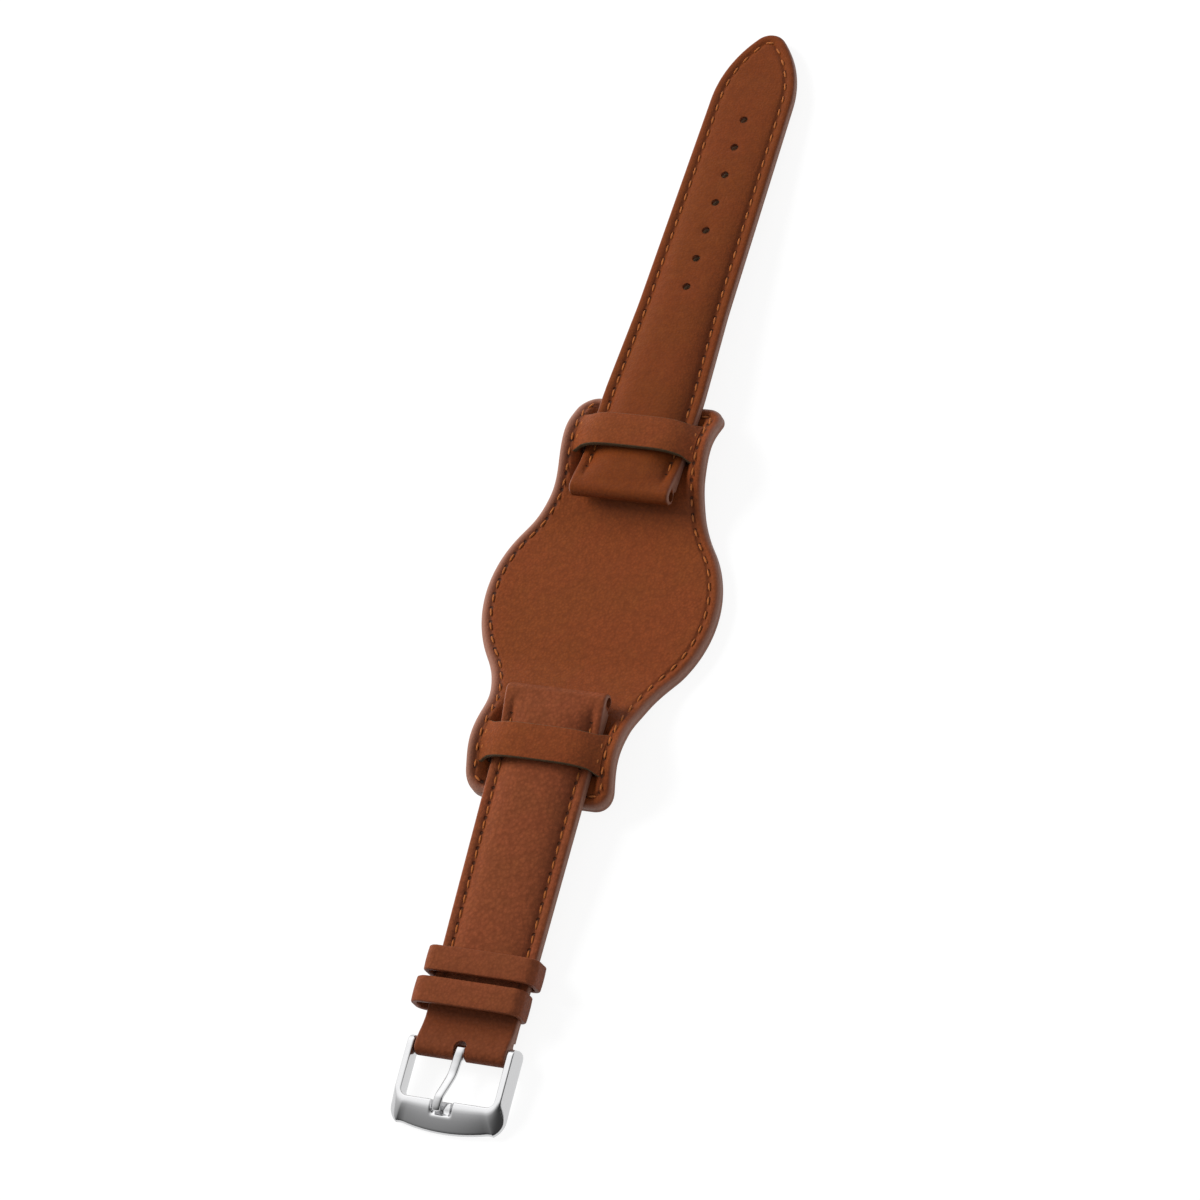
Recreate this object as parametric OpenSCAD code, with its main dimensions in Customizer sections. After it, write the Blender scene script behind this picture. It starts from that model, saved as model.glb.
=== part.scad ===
// Leather pilot's watch strap: a tail piece and a buckle piece threaded through
// the two bridges of a wide backing pad, with two keepers and a pin buckle.
// Millimetres. The origin is the middle of the pad's back face, +Y runs to the
// pointed tip, +X to the right with the tip up, +Z out of the pad's face.

/* [Strap pieces] */
// Width of both pieces at their lug ends
lug_w = 22; // [20:0.5:24]
// Gap between the two lug ends, where the watch head sits
lug_gap = 42.6; // [38:0.2:48]
// Distance by which both pieces are threaded towards the buckle end
straps_shift = 0.6; // [-1:0.1:1]
// Length of the tail piece from lug end to tip
tail_l = 114.5; // [105:0.5:125]
// Length over which the tail piece keeps that width
tail_full_l = 25; // [20:1:30]
// Width of the tail piece where its quick taper ends
tail_mid_w = 20; // [19:0.2:21]
// Distance of that place from the lug end
tail_mid_l = 46; // [40:1:60]
// Width of the tail piece where its point begins
tail_w = 18.4; // [16:0.2:18.8]
// Radius of the long arcs on both sides of the point
point_r = 24; // [20:0.5:30]
// Radius of the rounded tip
tip_r = 4; // [3:0.25:5]
// Length of the buckle piece from lug end to fold
short_l = 78.9; // [76:0.5:88]
// Width of the buckle piece under the keepers
keeper_strap_w = 20.7; // [19.8:0.1:21.4]
// Width of the buckle piece at its fold
fold_w = 19.8; // [18:0.2:20.4]
// Thickness of the face leather of both pieces
upper_t = 0.95; // [0.8:0.05:1.2]
// Thickness of their lining leather
strap_lining_t = 0.95; // [0.8:0.05:1.2]
// Droop of the tail piece from the bridge to the tip, in degrees
tail_tilt = 3.0; // [2.4:0.1:3.0]
// Droop of the buckle piece from the bridge to the buckle, in degrees
short_tilt = 4.0; // [3.2:0.1:4.0]

/* [Padding] */
// Width of the padding at the lug ends
padding_w = 16.8; // [15:0.2:17.4]
// Height of the padding at the lug ends
padding_high = 2.2; // [1.8:0.1:2.4]
// Height that is left of it where the point begins
padding_low_tail = 0.3; // [0.2:0.05:0.6]
// Height that is left of it at the keepers
padding_low_short = 0.9; // [0.6:0.1:1.2]

/* [Lug ends] */
// Diameter of the rolled lug end
roll_d = 3.6; // [3.2:0.1:4.2]
// Diameter of its spring bar hole
lug_bore_d = 2.0; // [1.6:0.1:2.2]

/* [Adjustment holes] */
// Number of punched holes
hole_n = 7; // [5:1:9]
// Distance from hole to hole
hole_pitch = 7; // [5:0.5:8]
// Distance from the tip to the first hole
first_hole = 22; // [18:0.5:26]
// Diameter of a hole
hole_d = 1.7; // [1.4:0.1:2.2]

/* [Backing pad] */
// Length of the pad
pad_l = 90; // [86:1:96]
// Radius of its round middle
pad_r = 25.4; // [23:0.2:28]
// Width of its two necks
neck_w = 32; // [30:0.5:34]
// Radius of the hollow between middle and neck
waist_r = 23; // [18:0.5:26]
// Radius of its outer corners
pad_corner_r = 4; // [3:0.25:6]
// Thickness of its face leather
pad_face_t = 1.4; // [1.1:0.1:1.8]
// Thickness of its lining leather
pad_lining_t = 1.4; // [1.1:0.1:1.8]
// Half length of its flat middle, which lies on the wrist
flat_half = 13; // [8:1:16]
// Distance from the middle at which its ends have risen
rise_end = 29; // [27:0.5:30]
// Height by which its ends rise
rise_h = 3.0; // [2.6:0.1:3.6]

/* [Bridges] */
// Distance from the middle to a bridge's inner edge
bridge_y = 31.2; // [30.6:0.2:33]
// Width of a bridge along the strap
bridge_l = 7.4; // [6:0.2:9]
// Thickness of a bridge
bridge_t = 1.2; // [1.0:0.1:1.5]
// Room between the straps and the pad or a bridge
bridge_gap = 0.3; // [0.2:0.05:0.5]
// Half width of the slot under a bridge
slot_half = 12.3; // [11.9:0.1:12.8]
// Room between a bridge's crown and the strap's padding
crown_gap = 0.35; // [0.3:0.05:0.8]

/* [Keepers] */
// Width of a keeper along the strap
keeper_l = 5.0; // [4:0.2:6]
// Thickness of the keeper leather
keeper_t = 1.15; // [0.9:0.05:1.4]
// Room beside the strap inside a keeper
keeper_side_gap = 0.5; // [0.4:0.05:0.8]
// Room over the strap for the tail piece
keeper_head_room = 2.4; // [2.2:0.1:3.5]
// Distance from the spring bar to the fixed keeper's middle
fixed_keeper_back = 10.85; // [9.5:0.25:12]
// Distance by which the fixed keeper sits off the middle
fixed_keeper_aside = 0.5; // [0:0.1:0.5]
// Gap between the two keepers
keeper_gap = 1.6; // [1.2:0.1:3]
// Radius of a keeper's inner corners
keeper_inner_r = 0.2; // [0.1:0.05:0.2]
// Room under the strap inside the free keeper
keeper_under_gap = 0.12; // [0.1:0.02:0.3]

/* [Buckle] */
// Diameter of the buckle spring bar's tube
bar_d = 1.5; // [1.3:0.1:1.6]
// Bore of that tube
bar_bore_d = 1.0; // [0.9:0.05:1.05]
// Length of that tube
bar_tube_l = 15.8; // [14:0.2:16.4]
// Diameter of its two plungers inside the tube
plunger_d = 0.88; // [0.7:0.02:0.88]
// Diameter of the tip that sits in the frame
bar_tip_d = 0.76; // [0.6:0.02:0.8]
// Length of that tip inside the frame
bar_tip_l = 1.1; // [0.8:0.1:1.3]
// Radial room of a moving pin in its hole
pin_gap = 0.04; // [0.02:0.01:0.08]
// Radial room between the tube and the leather or the tongue
loop_gap = 0.08; // [0.05:0.01:0.1]
// Width of a frame arm
arm_w = 2.35; // [2:0.05:2.8]
// Height of the frame
frame_h = 3.4; // [3:0.1:3.5]
// Room between the leather and a frame arm
arm_gap = 0.15; // [0.1:0.05:0.4]
// Distance from the spring bar to the front bar's inner edge
window_l = 10.45; // [9.5:0.25:12]
// Depth of the front bar from its inner to its outer edge
front_l = 6.0; // [4.6:0.2:6.4]
// Bulge of the front bar's outer edge
front_bulge = 2.0; // [1:0.1:2.6]
// Distance by which the arms reach behind the spring bar's round
arm_rear = 0.4; // [0:0.1:0.6]
// Radius of the frame's front corners
frame_corner_r = 4; // [3:0.25:4.5]
// Width of the tongue
tongue_w = 2.0; // [1.6:0.1:2.4]
// Thickness of the tongue
tongue_t = 1.1; // [0.9:0.05:1.3]
// Width of the notch that takes the tongue's tip
notch_w = 4.4; // [3:0.1:4.6]
// Distance of that notch from the middle, on the side to which the tongue leans
notch_aside = 0.7; // [0:0.1:0.8]
// Depth of that notch below the frame's top
notch_depth = 1.0; // [0.8:0.05:1.2]
// Height of the tongue's bend over the frame's middle
tongue_bend = 1.7; // [1.4:0.1:2.2]
// Sideways lean of the tongue's tip, which rides loose on its bar
tongue_lean = 1.6; // [0:0.1:1.6]

/* [Stitching] */
// Distance from an edge to the stitches
stitch_inset = 2.2; // [1.9:0.05:2.3]
// Distance from stitch to stitch
stitch_pitch = 3.2; // [2.4:0.1:4]
// Visible length of one stitch
stitch_l = 2.1; // [1.4:0.1:2.2]
// Distance from a lug end to its first stitch
first_stitch = 6.4; // [5:0.2:8]
// Thickness of the thread
thread_d = 0.5; // [0.4:0.05:0.6]
// Width of the groove that the pad's seam lies in
seam_w = 1.0; // [0.8:0.1:1.2]
// Depth of that groove
seam_depth = 0.35; // [0.3:0.05:0.5]

/* [Hidden] */
$fn = 64;

leather = "sienna";
lining_leather = "peru";
thread = "chocolate";
steel = "silver";

far = 200;
trim = 0.02;
arc_step = 7.5;

pad_t = pad_face_t + pad_lining_t;
strap_edge_t = upper_t + strap_lining_t;
lug_y = lug_gap / 2;
roll_r = roll_d / 2;
roll_y = lug_y + roll_r;
tip_y = lug_y + tail_l;
fold_y = lug_y + short_l;
seat_z = pad_t + rise_h + bridge_gap;

// The point: two long arcs that a small tip circle joins
tip_centre_y = tip_y - tip_r;
shoulder_y = tip_centre_y - sqrt(pow(point_r - tip_r, 2) - pow(point_r - tail_w / 2, 2));
point_turn = atan2(tip_centre_y - shoulder_y, point_r - tail_w / 2);

// The padding is the cap of a long cylinder that sinks towards the thin end
padding_r = (pow(padding_w / 2, 2) + pow(padding_high, 2)) / (2 * padding_high);
padding_start = roll_y + 2.6;
crown_top = strap_edge_t + padding_high;
tail_padding_end = tip_y - 11;

// The fold's loop round the spring bar
bar_r = bar_d / 2;
loop_bore_r = bar_r + loop_gap;
loop_r = frame_h / 2 + 0.05;
bar_y = fold_y - loop_r;
bar_z = loop_r;
ring_r = frame_h / 2 - 0.25;
slot_half_w = tongue_w / 2 + 0.5;
slot_back = ring_r + 0.95;

fixed_keeper_y = bar_y - fixed_keeper_back;
free_keeper_y = fixed_keeper_y - keeper_l - keeper_gap;
short_padding_end = fixed_keeper_y - keeper_l / 2 - 0.8;
keeper_half = keeper_strap_w / 2 + keeper_side_gap;
keeper_head = strap_edge_t + keeper_head_room;

buckle_half = fold_w / 2 + arm_gap;
frame_half = buckle_half + arm_w;
front_y = window_l + front_l;
bulge_r = (pow(frame_half, 2) + pow(front_bulge, 2)) / (2 * front_bulge);

// Points of an arc round [cx, cy] from angle a to angle b
function arc(cx, cy, r, a, b) = let(n = max(2, ceil(abs(b - a) / arc_step)))
  [for (i = [0:n]) let(t = a + (b - a) * i / n) [cx + r * cos(t), cy + r * sin(t)]];

function mirrored(side) = [for (i = [len(side) - 1:-1:0]) [-side[i].x, side[i].y]];

// Right side of the tail piece, from the lug end to the tip, moved in by inset
function tail_side(inset, start) = concat(
  [
    [lug_w / 2 - inset, start], [lug_w / 2 - inset, lug_y + tail_full_l],
    [tail_mid_w / 2 - inset, lug_y + tail_mid_l]
  ],
  arc(tail_w / 2 - point_r, shoulder_y, point_r - inset, 0, point_turn - 1),
  arc(0, tip_centre_y, tip_r - inset, point_turn + 1, 90)
);

// Right side of the buckle piece, from the lug end to the given far end
function short_side(inset, start, end) = let(k = free_keeper_y, f = fixed_keeper_y)
  concat(
    [[lug_w / 2 - inset - (lug_w - keeper_strap_w) / 2 * (start - lug_y) / (k - lug_y), start]],
    [[keeper_strap_w / 2 - inset, min(k, end)]],
    end > f ? [[fold_w / 2 - inset, f + keeper_l / 2], [fold_w / 2 - inset, end]] : []
  );

// One quarter of the pad's outline, from the middle of its right side upwards
waist_y = sqrt(pow(pad_r + waist_r, 2) - pow(neck_w / 2 + waist_r, 2));
waist_turn = atan2(waist_y, neck_w / 2 + waist_r);
function pad_quarter(inset) = concat(
  arc(0, 0, pad_r - inset, 0, waist_turn),
  arc(neck_w / 2 + waist_r, waist_y, waist_r + inset, 180 + waist_turn - 4, 180),
  arc(neck_w / 2 - pad_corner_r, pad_l / 2 - pad_corner_r, pad_corner_r - inset, 0, 90)
);
function pad_half(inset) = let(q = pad_quarter(inset))
  concat([for (i = [len(q) - 1:-1:1]) [q[i].x, -q[i].y]], q);

// Height of the pad's back face: flat in the middle, then up to a bridge and
// down again along the strap that lies on it
function rise(y) = let(
    d = abs(y),
    slope = tan(y > 0 ? tail_tilt : short_tilt),
    run = rise_end - flat_half,
    u = (d - flat_half) / run
  )
  d <= flat_half ? 0
  : d >= rise_end ? rise_h - (d - rise_end) * slope
  : rise_h * (3 * u * u - 2 * u * u * u) + slope * run * (u * u - u * u * u);

// Places children, drawn flat with +Y outwards, on the pad's tail or buckle end
module at_tail_end() {
  translate([0, rise_end, seat_z]) rotate([-tail_tilt, 0, 0]) translate([0, -rise_end, 0]) children();
}
module at_buckle_end() {
  mirror([0, 1, 0]) translate([0, rise_end, seat_z]) rotate([-short_tilt, 0, 0])
    translate([0, -rise_end, 0]) children();
}
module on_tail() {
  at_tail_end() translate([0, -straps_shift, 0]) children();
}
module on_short() {
  at_buckle_end() translate([0, straps_shift, 0]) children();
}
module at_bar() {
  on_short() translate([0, bar_y, bar_z]) children();
}

// Extrudes a drawing of the YZ plane along X, to both sides
module along_x(width) {
  rotate([90, 0, 90]) linear_extrude(height = width, center = true) children();
}
module cross_bar(r, length) {
  rotate([0, 90, 0]) cylinder(r = r, h = length, center = true);
}

// A long cylinder whose cap over the lining is the padding's shape
module padding_barrel(r, end_y, low) {
  sink = atan((padding_high - low) / (end_y - lug_y));
  translate([0, lug_y, strap_lining_t + padding_high - padding_r])
    rotate([-90 - sink, 0, 0]) translate([0, 0, -far / 10]) cylinder(r = r, h = far, $fn = 128);
}

module slab(side, low, high) {
  translate([0, 0, low]) linear_extrude(height = high - low) polygon(concat(side, mirrored(side)));
}

module padding(side, end_y, low_y, low, end_slope) {
  intersection() {
    padding_barrel(padding_r - trim, low_y, low);
    slab(side, strap_lining_t, crown_top);
    along_x(lug_w) polygon([
      [padding_start, 0], [padding_start, crown_top],
      [end_y - end_slope, crown_top], [end_y, strap_lining_t], [end_y, 0]
    ]);
  }
}

// The face leather: a flat margin, the crown over the padding, the rolled end
module upper(side, end_y, low_y, low, end_slope) {
  difference() {
    union() {
      slab(side, strap_lining_t, strap_edge_t);
      intersection() {
        padding_barrel(padding_r + upper_t, low_y, low);
        slab(side, strap_lining_t, crown_top + upper_t);
        along_x(lug_w) polygon([
          [roll_y - roll_r / 2, strap_lining_t], [roll_y - roll_r / 2, roll_d - roll_r / 6],
          [padding_start, crown_top + trim], [end_y - end_slope + upper_t, crown_top + trim],
          [end_y + upper_t, strap_edge_t], [end_y + upper_t, strap_lining_t]
        ]);
      }
      translate([0, roll_y, roll_r]) cross_bar(roll_r, lug_w);
    }
    intersection() {
      padding_barrel(padding_r, low_y, low);
      translate([0, 0, strap_lining_t - 1]) slab(side, 0, crown_top);
      along_x(lug_w) polygon([
        [padding_start - trim, 0], [padding_start - trim, crown_top],
        [end_y - end_slope + trim, crown_top], [end_y + trim, strap_lining_t], [end_y + trim, 0]
      ]);
    }
    translate([0, roll_y, roll_r]) cross_bar(lug_bore_d / 2, lug_w + 1);
  }
}

module punched_holes() {
  for (i = [0:hole_n - 1])
    translate([0, tip_y - first_hole - i * hole_pitch, -1]) cylinder(d = hole_d, h = crown_top + 3);
}

// Length along a path up to each of its points
function path_run(p, i = 0, s = 0) = i >= len(p) ? []
  : let(t = i == 0 ? 0 : s + norm(p[i] - p[i - 1])) concat([t], path_run(p, i + 1, t));

// Draws stitches along a path of the plan, lying on the height top(y)
module stitches(path, kind) {
  run = path_run(path);
  last = len(path) - 1;
  count = floor(run[last] / stitch_pitch);
  first = (run[last] - (count - 1) * stitch_pitch) / 2;
  for (i = [0:count - 1]) {
    s = first + i * stitch_pitch;
    k = max([for (j = [0:last - 1]) if (run[j] <= s) j]);
    along = path[k + 1] - path[k];
    p = path[k] + along * (s - run[k]) / norm(along);
    z = kind == "pad" ? rise(p.y) + pad_t - thread_d / 2 : strap_edge_t - thread_d / 5;
    translate([p.x, p.y, z]) rotate([0, 0, atan2(along.y, along.x)])
      rotate([0, 90, 0]) cylinder(d = thread_d, h = stitch_l, center = true, $fn = 8);
  }
}

// What the children, drawn in plan, cover between two heights over the back face
module pad_layer(low, high) {
  ys = [for (d = [pad_l / 2, rise_end, for (u = [0.9:-0.1:0.05]) flat_half + u * (rise_end - flat_half), flat_half]) d];
  line = concat([for (y = ys) -y], [for (i = [len(ys) - 1:-1:0]) ys[i]]);
  intersection() {
    along_x(3 * pad_r) polygon(concat(
      [for (y = line) [y, rise(y) + low]],
      [for (i = [len(line) - 1:-1:0]) [line[i], rise(line[i]) + high]]
    ));
    linear_extrude(height = rise_h + pad_t + 1) children();
  }
}
module pad_plan(inset) {
  half = pad_half(inset);
  polygon(concat(half, mirrored(half)));
}

// Arch over the strap: half width a and height h
function arch(a, h) = [for (t = [-90:6:90]) [
  a * sign(t) * pow(abs(sin(t)), 2 / 3.2), h * pow(cos(t), 2 / 1.6)
]];

module bridge() {
  inner_h = crown_top + crown_gap;
  foot = bridge_gap + pad_face_t / 2;
  translate([0, bridge_y + bridge_l, 0]) rotate([90, 0, 0]) linear_extrude(height = bridge_l)
    difference() {
      union() {
        polygon(arch(slot_half + bridge_t, inner_h + bridge_t));
        for (s = [-1, 1]) translate([s * (slot_half + bridge_t / 2) - bridge_t / 2, -foot])
          square([bridge_t, foot + 0.1]);
      }
      polygon(arch(slot_half, inner_h));
    }
}
module bridge_slot() {
  translate([-slot_half, bridge_y, -bridge_gap - pad_face_t - 0.1])
    cube([2 * slot_half, bridge_l, bridge_gap + pad_face_t + 0.2]);
}

module pad_lining() {
  color(lining_leather) pad_layer(0, pad_lining_t) pad_plan(0);
}

module pad_face() {
  color(leather) {
    difference() {
      pad_layer(pad_lining_t, pad_t) pad_plan(0);
      pad_layer(pad_t - seam_depth, pad_t + 1) difference() {
        pad_plan(stitch_inset - seam_w / 2);
        pad_plan(stitch_inset + seam_w / 2);
      }
      at_tail_end() bridge_slot();
      at_buckle_end() bridge_slot();
    }
    at_tail_end() bridge();
    at_buckle_end() bridge();
  }
}

module pad_stitching() {
  half = pad_half(stitch_inset);
  color(thread) {
    stitches(half, "pad");
    mirror([1, 0, 0]) stitches(half, "pad");
  }
}

// Two short stitches at each foot of a bridge
module tack_row() {
  for (s = [-1, 1], k = [-1, 1])
    translate([s * (slot_half + bridge_t), bridge_y + bridge_l / 2 + k * bridge_l / 5, 2 * thread_d])
      rotate([90, 0, 0]) cylinder(d = thread_d, h = stitch_l / 2, center = true, $fn = 8);
}
module bridge_tacks() {
  color(thread) {
    at_tail_end() tack_row();
    at_buckle_end() tack_row();
  }
}

module tail_lining() {
  color(lining_leather) on_tail() difference() {
    slab(tail_side(0, roll_y + roll_r + 0.2), 0, strap_lining_t);
    punched_holes();
  }
}
module tail_filler() {
  color("tan") on_tail() difference() {
    padding(tail_side(stitch_inset, roll_y), tail_padding_end, shoulder_y, padding_low_tail, 0);
    punched_holes();
  }
}
module tail_upper() {
  color(leather) on_tail() difference() {
    upper(tail_side(0, roll_y), tail_padding_end, shoulder_y, padding_low_tail, 0);
    punched_holes();
  }
}
module tail_stitching() {
  side = tail_side(stitch_inset, lug_y + first_stitch);
  color(thread) on_tail() stitches(concat(side, mirrored(side)), "strap");
}

module tongue_slot() {
  translate([-slot_half_w, bar_y - slot_back, -1]) cube([2 * slot_half_w, far / 4, far / 20]);
}

module buckle_strap_lining() {
  color(lining_leather) on_short()
    slab(short_side(0, roll_y + roll_r + 0.2, bar_y - loop_r - 1), 0, strap_lining_t);
}
module buckle_strap_filler() {
  color("tan") on_short()
    padding(short_side(stitch_inset, roll_y, free_keeper_y), short_padding_end, free_keeper_y, padding_low_short, 2);
}
// The upper turns back round the spring bar and is slotted for the tongue
module buckle_strap_upper() {
  rise_from = fixed_keeper_y + keeper_l / 2 + 1.5;
  color(leather) on_short() difference() {
    union() {
      upper(short_side(0, roll_y, bar_y), short_padding_end, free_keeper_y, padding_low_short, 2);
      translate([0, bar_y, bar_z]) cross_bar(loop_r, fold_w);
      along_x(fold_w) polygon([
        [rise_from, strap_lining_t], [rise_from, strap_edge_t],
        [bar_y + loop_r * cos(104), bar_z + loop_r * sin(104)], [bar_y, bar_z],
        [bar_y + loop_r * cos(256), bar_z + loop_r * sin(256)],
        [bar_y - loop_r - 0.8, 0], [bar_y - loop_r - 0.8, strap_lining_t]
      ]);
    }
    translate([0, bar_y, bar_z]) cross_bar(loop_bore_r, fold_w + 1);
    tongue_slot();
  }
}
module buckle_strap_stitching() {
  side = short_side(stitch_inset, lug_y + first_stitch, free_keeper_y + keeper_l / 4);
  color(thread) on_short() {
    stitches(side, "strap");
    mirror([1, 0, 0]) stitches(side, "strap");
  }
}

// A loop of leather: room inside from low to high, half as wide as half_w
module keeper(y, low) {
  w = keeper_half + keeper_t;
  ri = keeper_inner_r;
  r = ri + keeper_t;
  top = keeper_head + keeper_t;
  bottom = low - keeper_t;
  outer = concat(
    arc(w - r, top - r, r, 0, 90), arc(r - w, top - r, r, 90, 180),
    arc(r - w, bottom + r, r, 180, 270), arc(w - r, bottom + r, r, 270, 360)
  );
  inner = concat(
    arc(keeper_half - ri, keeper_head - ri, ri, 0, 90), arc(ri - keeper_half, keeper_head - ri, ri, 90, 180),
    arc(ri - keeper_half, low + ri, ri, 180, 270), arc(keeper_half - ri, low + ri, ri, 270, 360)
  );
  translate([0, y + keeper_l / 2, 0]) rotate([90, 0, 0]) linear_extrude(height = keeper_l)
    difference() {
      polygon(outer);
      polygon(inner);
    }
}
module fixed_keeper() {
  color(leather) on_short() translate([-fixed_keeper_aside, 0, 0]) keeper(fixed_keeper_y, 0);
}
module free_keeper() {
  color(leather) on_short() keeper(free_keeper_y, -keeper_under_gap);
}

module bar_barrel() {
  color(steel) at_bar() difference() {
    cross_bar(bar_r, bar_tube_l);
    cross_bar(bar_bore_d / 2, bar_tube_l + 1);
  }
}

// A plunger: shaft in the tube, collar beside the frame, tip in the frame
collar_t = 0.35;
collar_x = buckle_half - 0.1 - collar_t;
plunger_x = bar_tube_l / 2 - 3;
module plunger() {
  rotate([0, 90, 0]) {
    translate([0, 0, plunger_x]) cylinder(d = plunger_d, h = collar_x - plunger_x);
    translate([0, 0, collar_x]) cylinder(d = bar_d - 0.1, h = collar_t);
    translate([0, 0, collar_x + collar_t]) cylinder(d = bar_tip_d, h = buckle_half + bar_tip_l - collar_x - collar_t);
  }
}
module bar_plunger_right() {
  color(steel) at_bar() plunger();
}
module bar_plunger_left() {
  color(steel) at_bar() mirror([1, 0, 0]) plunger();
}

// The coil between the plungers, swept round a helix
spring_turns = 14;
spring_wire_r = 0.09;
spring_r = bar_bore_d / 2 - spring_wire_r - 0.05;
module bar_spring() {
  half = plunger_x - spring_wire_r - 0.02;
  rings = 8 * spring_turns;
  sides = 6;
  pts = [for (i = [0:rings]) let(a = 45 * i, x = -half + 2 * half * i / rings)
    for (j = [0:sides - 1]) let(r = spring_r + spring_wire_r * cos(60 * j))
      [x + spring_wire_r * sin(60 * j), r * cos(a), r * sin(a)]];
  walls = [for (i = [0:rings - 1], j = [0:sides - 1]) let(a = i * sides, n = (j + 1) % sides)
    each [[a + j, a + n, a + sides + n], [a + j, a + sides + n, a + sides + j]]];
  caps = [for (j = [1:sides - 2]) each [[0, j + 1, j], [rings * sides, rings * sides + j, rings * sides + j + 1]]];
  color(steel) at_bar() polyhedron(points = pts, faces = concat(walls, caps));
}

// Outline of the frame in plan: straight arms, round corners, bulged front
function frame_side() = let(
    corner_y = front_y - front_bulge - frame_corner_r * 0.6,
    cx = frame_half - frame_corner_r
  )
  concat(
    [[frame_half, -frame_h]],
    arc(cx, corner_y, frame_corner_r, 0, 60),
    [for (x = [cx * 0.75, cx * 0.5, cx * 0.25, 0]) [x, front_y - bulge_r + sqrt(bulge_r * bulge_r - x * x)]]
  );

module buckle_frame() {
  h = frame_h / 2;
  dome_l = front_l + arm_w / 4;
  inner_r = bulge_r - dome_l;
  dome = [for (t = [90:-10:0]) [inner_r + dome_l * cos(t), 0.4 - h + (frame_h - 0.4) * sin(t)]];
  side = frame_side();
  color(steel) at_bar() difference() {
    intersection() {
      union() {
        translate([0, -arm_rear, 0]) cross_bar(h, 2 * frame_half);
        along_x(2 * frame_half) polygon([[-arm_rear, -h], [window_l, -h], [window_l, h], [-arm_rear, h]]);
        translate([0, front_y - bulge_r, 0]) rotate([0, 0, 90 - 25]) rotate_extrude(angle = 50, $fn = 144)
          polygon(concat([[inner_r - 1, -h], [inner_r - 1, h]], dome, [[bulge_r - 0.3, -h]]));
      }
      translate([0, 0, -frame_h]) linear_extrude(height = 2 * frame_h) polygon(concat(side, mirrored(side)));
    }
    translate([-buckle_half, -2 * frame_h, -frame_h]) cube([2 * buckle_half, 2 * frame_h + window_l, 2 * frame_h]);
    translate([-notch_w / 2 - notch_aside, window_l - 1, h - notch_depth]) cube([notch_w, 1 + front_l * 0.45, frame_h]);
    cross_bar(bar_tip_d / 2 + pin_gap, 2 * (buckle_half + bar_tip_l + 0.15));
  }
}

// The tongue lies level from the bar, climbs over the frame's inner edge and
// dips into the notch
module buckle_tongue() {
  floor_z = frame_h / 2 - notch_depth + 0.05;
  t = tongue_t;
  w = tongue_w / 2;
  ramp_from = window_l * 0.5;
  ramp_to = window_l * 0.92;
  tip = window_l + front_l * 0.34;
  color(steel) at_bar() difference() {
    union() {
      cross_bar(ring_r, tongue_w);
      intersection() {
        along_x(far / 10) polygon([
          [0, 0], [ramp_from, 0.1], [ramp_to, tongue_bend], [ramp_to + t, tongue_bend], [tip - t / 2, floor_z],
          [tip, floor_z], [tip, floor_z + t / 2], [tip - t / 2, floor_z + t],
          [ramp_to + t, tongue_bend + t], [ramp_to, tongue_bend + t], [ramp_from, t + 0.1], [0, t + 0.1]
        ]);
        translate([0, 0, -frame_h]) linear_extrude(height = 3 * frame_h) polygon([
          [-w, 0], [w, 0], [w * 0.9 - tongue_lean, tip], [-w * 0.9 - tongue_lean, tip]
        ]);
      }
    }
    cross_bar(loop_bore_r, tongue_w + 1);
  }
}

pad_lining();
pad_face();
pad_stitching();
bridge_tacks();
tail_lining();
tail_filler();
tail_upper();
tail_stitching();
buckle_strap_lining();
buckle_strap_filler();
buckle_strap_upper();
buckle_strap_stitching();
fixed_keeper();
free_keeper();
bar_barrel();
bar_spring();
bar_plunger_left();
bar_plunger_right();
buckle_frame();
buckle_tongue();
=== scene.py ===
"""Dresses the leather watch strap: leather, seams, keepers and a polished pin buckle."""

from math import atan2, ceil, cos, exp, hypot, pi, radians, sin, sqrt, tan
from types import SimpleNamespace

import bmesh
import bpy
from mathutils import Matrix, Vector
from bpy.props import FloatProperty, FloatVectorProperty, IntProperty, PointerProperty


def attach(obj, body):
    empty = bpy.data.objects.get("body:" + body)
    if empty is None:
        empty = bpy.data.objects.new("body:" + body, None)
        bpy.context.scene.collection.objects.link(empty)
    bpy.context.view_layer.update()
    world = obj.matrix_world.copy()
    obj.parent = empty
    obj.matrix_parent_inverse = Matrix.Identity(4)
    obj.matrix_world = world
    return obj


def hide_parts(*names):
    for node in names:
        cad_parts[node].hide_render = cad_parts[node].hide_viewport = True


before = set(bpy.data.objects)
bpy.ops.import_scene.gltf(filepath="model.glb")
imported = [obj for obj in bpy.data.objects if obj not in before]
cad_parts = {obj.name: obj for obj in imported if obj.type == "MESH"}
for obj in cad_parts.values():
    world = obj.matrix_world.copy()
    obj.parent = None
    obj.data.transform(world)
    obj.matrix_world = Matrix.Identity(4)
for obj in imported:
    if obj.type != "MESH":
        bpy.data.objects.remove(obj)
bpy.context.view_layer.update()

bl_info = {
    "name": "Leather Watch Strap",
    "version": (1, 0, 0),
    "blender": (4, 5, 0),
    "location": "View3D > Sidebar > Watch Strap",
    "description": "Builds a padded leather strap on its backing pad, with keepers and a pin buckle",
    "category": "Add Mesh",
}


def length(label, mm, words):
    """A length property; its default is given in millimetres."""
    return FloatProperty(name=label, description=words, default=mm * 0.001, min=0.0, unit="LENGTH",
                         precision=5)


def tint(label, rgb, words):
    """A colour property."""
    return FloatVectorProperty(name=label, description=words, default=rgb, subtype="COLOR", size=3,
                               min=0.0, max=1.0)


def droop(label, degrees, words):
    """An angle property; its default is given in degrees."""
    return FloatProperty(name=label, description=words, default=radians(degrees), subtype="ANGLE")


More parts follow.
